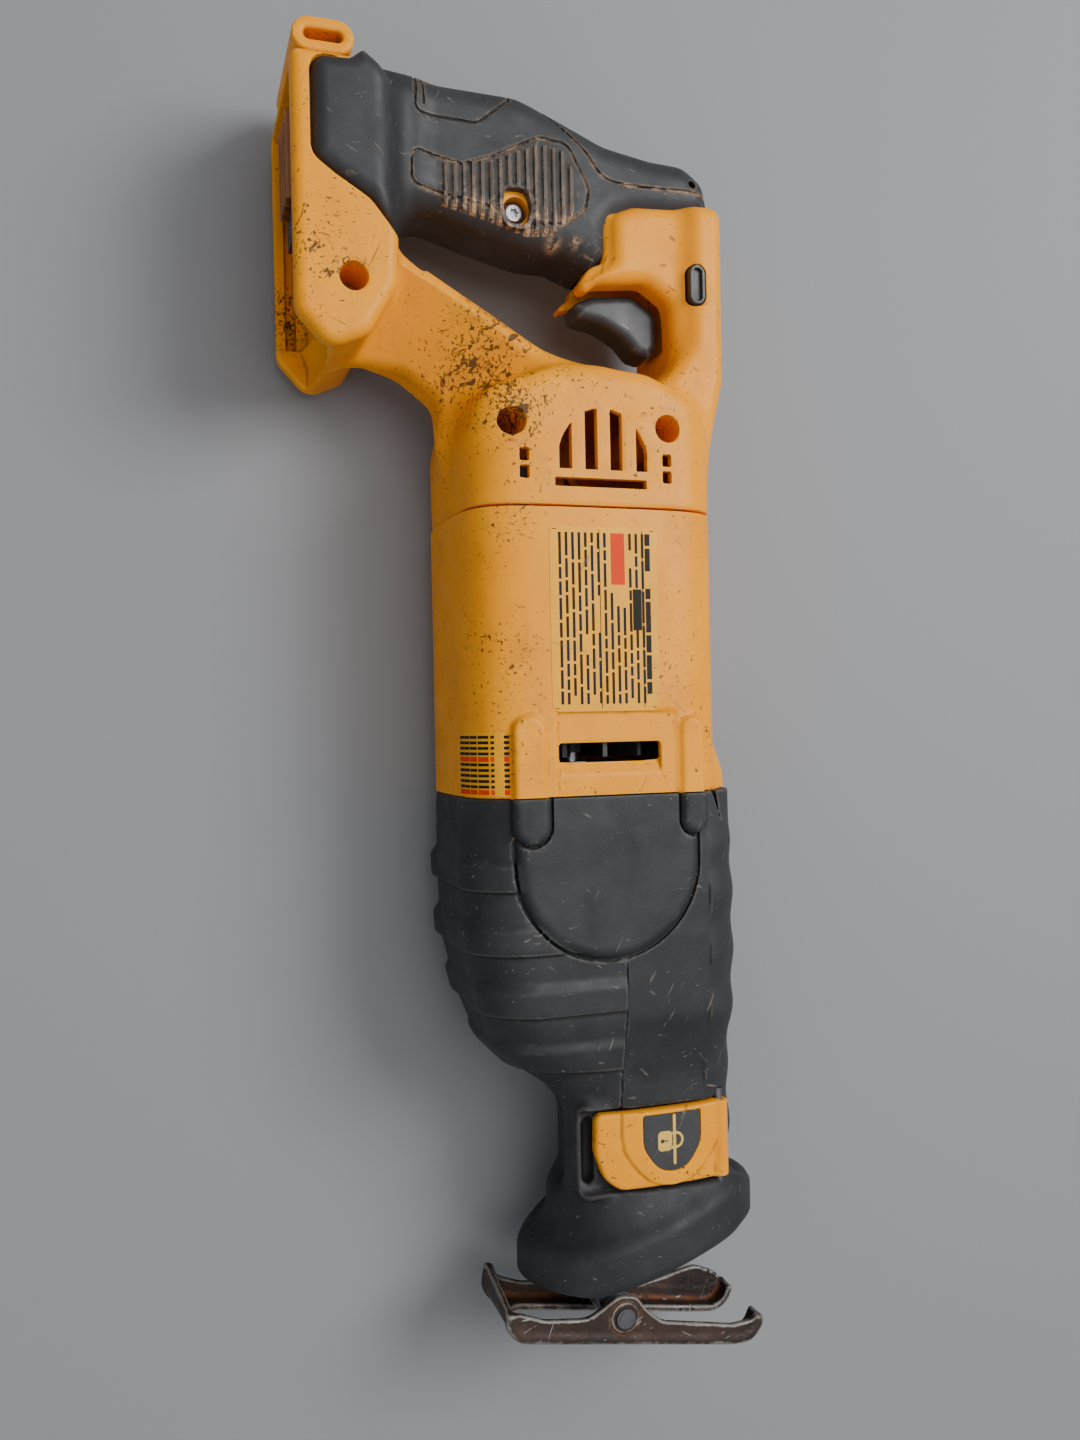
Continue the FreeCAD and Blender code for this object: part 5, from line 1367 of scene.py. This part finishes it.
@dataclass
class Scatter:
    """A geometry nodes tree that copies a pattern to every point, each turned at random."""

    name: str

    def tree(self) -> bpy.types.NodeTree:
        """Return the tree, with its inputs named."""
        tree = bpy.data.node_groups.new(self.name, "GeometryNodeTree")
        face = tree.interface
        face.new_socket("Geometry", in_out="INPUT", socket_type="NodeSocketGeometry")
        face.new_socket("Pattern", in_out="INPUT", socket_type="NodeSocketObject")
        face.new_socket("Material", in_out="INPUT", socket_type="NodeSocketMaterial")
        face.new_socket("Turn", in_out="INPUT", socket_type="NodeSocketFloat")
        face.new_socket("Seed", in_out="INPUT", socket_type="NodeSocketInt")
        face.new_socket("Geometry", in_out="OUTPUT", socket_type="NodeSocketGeometry")
        nodes = Nodes(tree)
        given, result = tree.nodes.new("NodeGroupInput"), tree.nodes.new("NodeGroupOutput")
        source = nodes.add("GeometryNodeObjectInfo")
        nodes.link(given.outputs["Pattern"], source.inputs["Object"])
        turn = nodes.add("FunctionNodeRandomValue", data_type="FLOAT")
        nodes.link(given.outputs["Turn"], turn.inputs[3])
        nodes.link(given.outputs["Seed"], turn.inputs["Seed"])
        axes = nodes.add("ShaderNodeCombineXYZ")
        nodes.link(turn.outputs[1], axes.inputs["Z"])
        place = nodes.add("GeometryNodeInstanceOnPoints")
        nodes.link(given.outputs["Geometry"], place.inputs["Points"])
        nodes.link(source.outputs["Geometry"], place.inputs["Instance"])
        nodes.link(axes.outputs["Vector"], place.inputs["Rotation"])
        real = nodes.add("GeometryNodeRealizeInstances")
        nodes.link(place.outputs["Instances"], real.inputs["Geometry"])
        dress = nodes.add("GeometryNodeSetMaterial")
        nodes.link(real.outputs["Geometry"], dress.inputs["Geometry"])
        nodes.link(given.outputs["Material"], dress.inputs["Material"])
        nodes.link(dress.outputs["Geometry"], result.inputs["Geometry"])
        return tree

    def apply(self, host: bpy.types.Object, pattern: bpy.types.Object, material: bpy.types.Material,
              turn: float = 2 * math.pi, seed: int = 1) -> None:
        """Copy the pattern to the host's points and keep the result as its mesh."""
        tree = self.tree()
        modifier = host.modifiers.new(self.name, "NODES")
        modifier.node_group = tree
        values = {"Pattern": pattern, "Material": material, "Turn": turn, "Seed": seed}
        for item in tree.interface.items_tree:
            if item.item_type == "SOCKET" and item.in_out == "INPUT" and item.name in values:
                modifier[item.identifier] = values[item.name]
        graph = bpy.context.evaluated_depsgraph_get()
        mesh = bpy.data.meshes.new_from_object(host.evaluated_get(graph))
        host.modifiers.remove(modifier)
        mesh.name = host.name
        host.data = mesh


@dataclass
class BodyAssembly:
    """The motor housing, its labels, the boot and the gear case."""

    shop: Workshop
    form: BodyForm
    step: float = 0.8

    def build(self) -> None:
        """Build every piece of the body."""
        shop, form = self.shop, self.form
        dirt = spots((-66, 10, 6, 0.5), (-66, 40, 7, 0.6), (-66, -22, 6, 0.5), (-8, -28, 14, 0.4),
                     (24, 10, 5, 0.3), (5, 44, 9, 0.5))
        shop.carved("motor_shell", form.housing, (-74, -40, -43), (29, 70, 43), self.step, YELLOW, "saw",
                    "yellow_shell", ["motor_housing"], grime=dirt)
        shop.carved("boot", form.boot, (24, -43, -43), (202, 84, 43), self.step, RUBBER, "saw", "black_rubber",
                    ["nose_boot"])
        for name, side in (("right", 1.0), ("left", -1.0)):
            heights = sorted((-1 * side, 40 * side))
            shop.carved("case_" + name, one_half(form.case, side, 0.1, 0.3), (26, -40, heights[0]),
                        (178, 74, heights[1]), 1.5, CAST, "saw", "cast_aluminium", ["gear_case_" + name])
        self.labels()

    def bar(self, x_low: float, x_high: float, y_low: float, y_high: float, lift: float) -> list:
        """Return a thin bar's corners, laid on the housing's right-hand face."""
        corners = []
        for level in (-0.12, lift):
            for x, y in ((x_low, y_low), (x_high, y_low), (x_high, y_high), (x_low, y_high)):
                corners.append((x, y, self.form.face(y) + 0.16 + level))
        return corners

    def labels(self) -> None:
        """Lay the rating plate with plain bars where its print would be, and the side plate."""
        form, shop = self.form, self.shop
        shop.carved("rating_plate", form.rating_plate, (-67, -10, 38), (0, 33, 42), 0.5, LABEL, "saw",
                    "yellow_shell", [], sharp=50)
        chance = np.random.default_rng(11)
        bars, alerts = [], []
        for row in range(15):
            top = 27.8 - 2.3 * row
            x = -63.0
            while x < -8.0:
                length = float(chance.uniform(3.0, 11.0))
                if chance.random() < 0.9 and not (row in (4, 5, 6) and x < -44):
                    thick = 1.9 if row == 0 else 0.95
                    bars.append(self.bar(x, min(x + length, -5.0), top - thick, top, 0.05))
                x += length + 0.9
        alerts.append(self.bar(-63.0, -45.5, 13.4, 18.4, 0.05))
        bars.append(self.bar(-44.0, -30.0, 21.2, 24.4, 0.06))
        for y in (24.9, 9.3):
            bars.append(self.bar(-64.0, -3.5, y - 0.14, y + 0.14, 0.04))
        for low, high in ((-64.2, -63.9), (-3.8, -3.5)):
            bars.append(self.bar(low, high, -7.4, 29.4, 0.04))
        shop.slabs("rating_bars", bars, INK, "saw", "yellow_shell")
        shop.slabs("rating_alert", alerts, ALERT, "saw", "yellow_shell")
        shop.carved("side_plate", form.side_plate, (2, -37, 14), (27, -22, 41), 0.5, LABEL, "saw",
                    "yellow_shell", [], sharp=50)
        self.side_bars()

    def side_bars(self) -> None:
        """Lay the side plate's plain bars round the housing's edge."""
        bars, alerts = [], []
        for column in range(11):
            start, end = 4.6 + 1.85 * column, 6.2 + 1.85 * column
            wanted = alerts if column in (4, 10) else bars
            for low, high in ((34.5, 37.6), (30.5, 33.9), (26.5, 29.9), (22.5, 25.9), (18.5, 21.9)):
                middle = (start + end) / 2
                thick = (end - start) * (0.5 if wanted is alerts else 0.3)
                wanted.append(self.edge_bar(middle - thick, middle + thick, low, high))
        self.shop.slabs("side_bars", bars, INK, "saw", "yellow_shell")
        self.shop.slabs("side_alerts", alerts, ALERT, "saw", "yellow_shell")

    def edge_bar(self, x_low: float, x_high: float, z_low: float, z_high: float) -> list:
        """Return a thin bar's corners, laid on the housing's lower edge between two heights."""
        corners = []
        for level in (0.1, 0.36):
            for x, z in ((x_low, z_low), (x_low, z_high), (x_high, z_high), (x_high, z_low)):
                y = self.form.flank(z)
                normal_y, normal_z = self.form.flank_normal(z)
                corners.append((x, y + normal_y * level, z + normal_z * level))
        return corners


@dataclass
class NoseAssembly:
    """The trigger, the clamp lever, its badge and the shoe."""

    shop: Workshop
    controls: ControlForm
    shoe: ShoeForm

    def build(self) -> None:
        """Build every piece."""
        shop, controls = self.shop, self.controls
        shop.carved("finger_trigger", controls.trigger, (-160, 12, -10), (-132, 50, 10), 0.5, TRIGGER,
                    "trigger", "trigger_plastic", ["trigger"])
        shop.carved("clamp_handle", controls.lever, (136, 5, 19), (169, 62, 33), 0.45, YELLOW, "lever",
                    "yellow_shell", ["clamp_lever"], grime=spots((150, 10, 7, 0.5), (163, 45, 5, 0.4)))
        shop.carved("lever_shield", controls.badge, (138, 23, 26), (163, 50, 33), 0.35, BLACK, "lever",
                    "badge_plastic", ["lever_badge"])
        shop.carved("padlock_sign", controls.padlock, (138, 23, 26), (163, 50, 33), 0.22, SIGN, "lever",
                    "badge_plastic", [])
        rust = spots((218, 77, 6, 1.0), (229, -8, 12, 0.3), (224, 60, 8, 0.25))
        shop.carved("shoe_plate", self.shoe.field, (184, -38, -19), (238, 82, 19), 0.5, RUST, "shoe",
                    "shoe_steel", ["shoe"], grime=rust)


@dataclass
class Saw:
    """The whole tool's visible pieces."""

    shop: Workshop = field(default_factory=Workshop)

    def build(self) -> None:
        """Build every assembly."""
        handle = HandleForm()
        HandleAssembly(self.shop, handle).build()
        BodyAssembly(self.shop, BodyForm(handle)).build()
        NoseAssembly(self.shop, ControlForm(), ShoeForm()).build()
        self.dress_frame()

    def dress_frame(self) -> None:
        """Give the design's own nodes their finishes."""
        table = {"bright_steel": STEEL, "motor_steel": DARK_STEEL, "gear_steel": DARK_STEEL,
                 "screw_steel": STEEL, "cast_aluminium": CAST, "winding_copper": COPPER,
                 "magnet_iron": IRON, "bush_bronze": BRONZE, "contact_brass": COPPER,
                 "black_plastic": BLACK, "black_rubber": RUBBER, "trigger_plastic": TRIGGER,
                 "yellow_shell": YELLOW, "badge_plastic": BLACK, "shoe_steel": RUST}
        for part in frame["record"]["subparts"]:
            thing = frame["nodes"][part["node"]]
            thing.data.materials.clear()
            dark = part["node"] in ("shoe_pivot_pin", "lever_pin")
            wanted = DARK_STEEL if dark else table[part["material_slot"]]
            thing.data.materials.append(self.shop.finish(wanted))


@dataclass
class Studio:
    """The floor, the lights and the camera."""

    lens: float = 30.0
    tilt: float = 18.0
    roll: float = 1.2
    distance: float = 0.442

    def build(self) -> None:
        """Make the scene around the tool."""
        self.floor()
        self.lights()
        self.camera()

    def floor(self) -> None:
        """Lay a plain pale floor."""
        mesh = bpy.data.meshes.new("floor")
        size, base = 3.0, float(CAD_BOX[0][2]) - 0.0002
        corners = [(-size, -size, base), (size, -size, base), (size, size, base), (-size, size, base)]
        mesh.from_pydata(corners, [], [(0, 1, 2, 3)])
        thing = bpy.data.objects.new("floor", mesh)
        bpy.context.scene.collection.objects.link(thing)
        material = bpy.data.materials.new("pale_floor")
        material.use_nodes = True
        shader = material.node_tree.nodes["Principled BSDF"]
        shader.inputs["Base Color"].default_value = (0.26, 0.265, 0.275, 1)
        shader.inputs["Roughness"].default_value = 0.7
        mesh.materials.append(material)

    def lights(self) -> None:
        """Hang soft area lights and a dim surround."""
        world = bpy.data.worlds.new("studio")
        bpy.context.scene.world = world
        world.use_nodes = True
        glow = world.node_tree.nodes["Background"]
        glow.inputs["Color"].default_value = (0.80, 0.84, 0.9, 1)
        glow.inputs["Strength"].default_value = 0.34
        for name, place, size, power in (("key", (-0.5, 0.9, 1.3), 0.8, 24.0),
                                         ("fill", (0.9, -0.8, 1.2), 1.4, 4.0),
                                         ("top", (-0.2, 0.1, 1.7), 1.0, 8.5)):
            light = bpy.data.lights.new(name, "AREA")
            light.size = size
            light.energy = power
            thing = bpy.data.objects.new(name, light)
            thing.location = place
            thing.rotation_euler = (-Vector(place)).to_track_quat("-Z", "Y").to_euler()
            bpy.context.scene.collection.objects.link(thing)

    def camera(self) -> None:
        """Hang the camera over the tool, leaning towards its underside."""
        tilt, roll = math.radians(self.tilt), math.radians(self.roll)
        look = Vector((0, math.sin(tilt), -math.cos(tilt)))
        right = Vector((0, math.cos(tilt), math.sin(tilt)))
        up = Vector((-1, 0, 0))
        side = math.cos(roll) * right - math.sin(roll) * up
        top = math.sin(roll) * right + math.cos(roll) * up
        aim = Vector((DATUM.x, DATUM.y, DATUM.z))
        data = bpy.data.cameras.new("camera")
        data.lens = self.lens
        data.sensor_width = 36.0
        data.clip_start = 0.02
        thing = bpy.data.objects.new("camera", data)
        thing.matrix_world = Matrix.Translation(aim - look * self.distance) @ Matrix(
            (side, top, -look)).transposed().to_4x4()
        bpy.context.scene.collection.objects.link(thing)
        bpy.context.scene.camera = thing


def main() -> None:
    """Build the tool and the studio."""
    logging.basicConfig(level=logging.INFO, format="%(message)s")
    Saw().build()
    Studio().build()


if __name__ == "__main__":
    main()
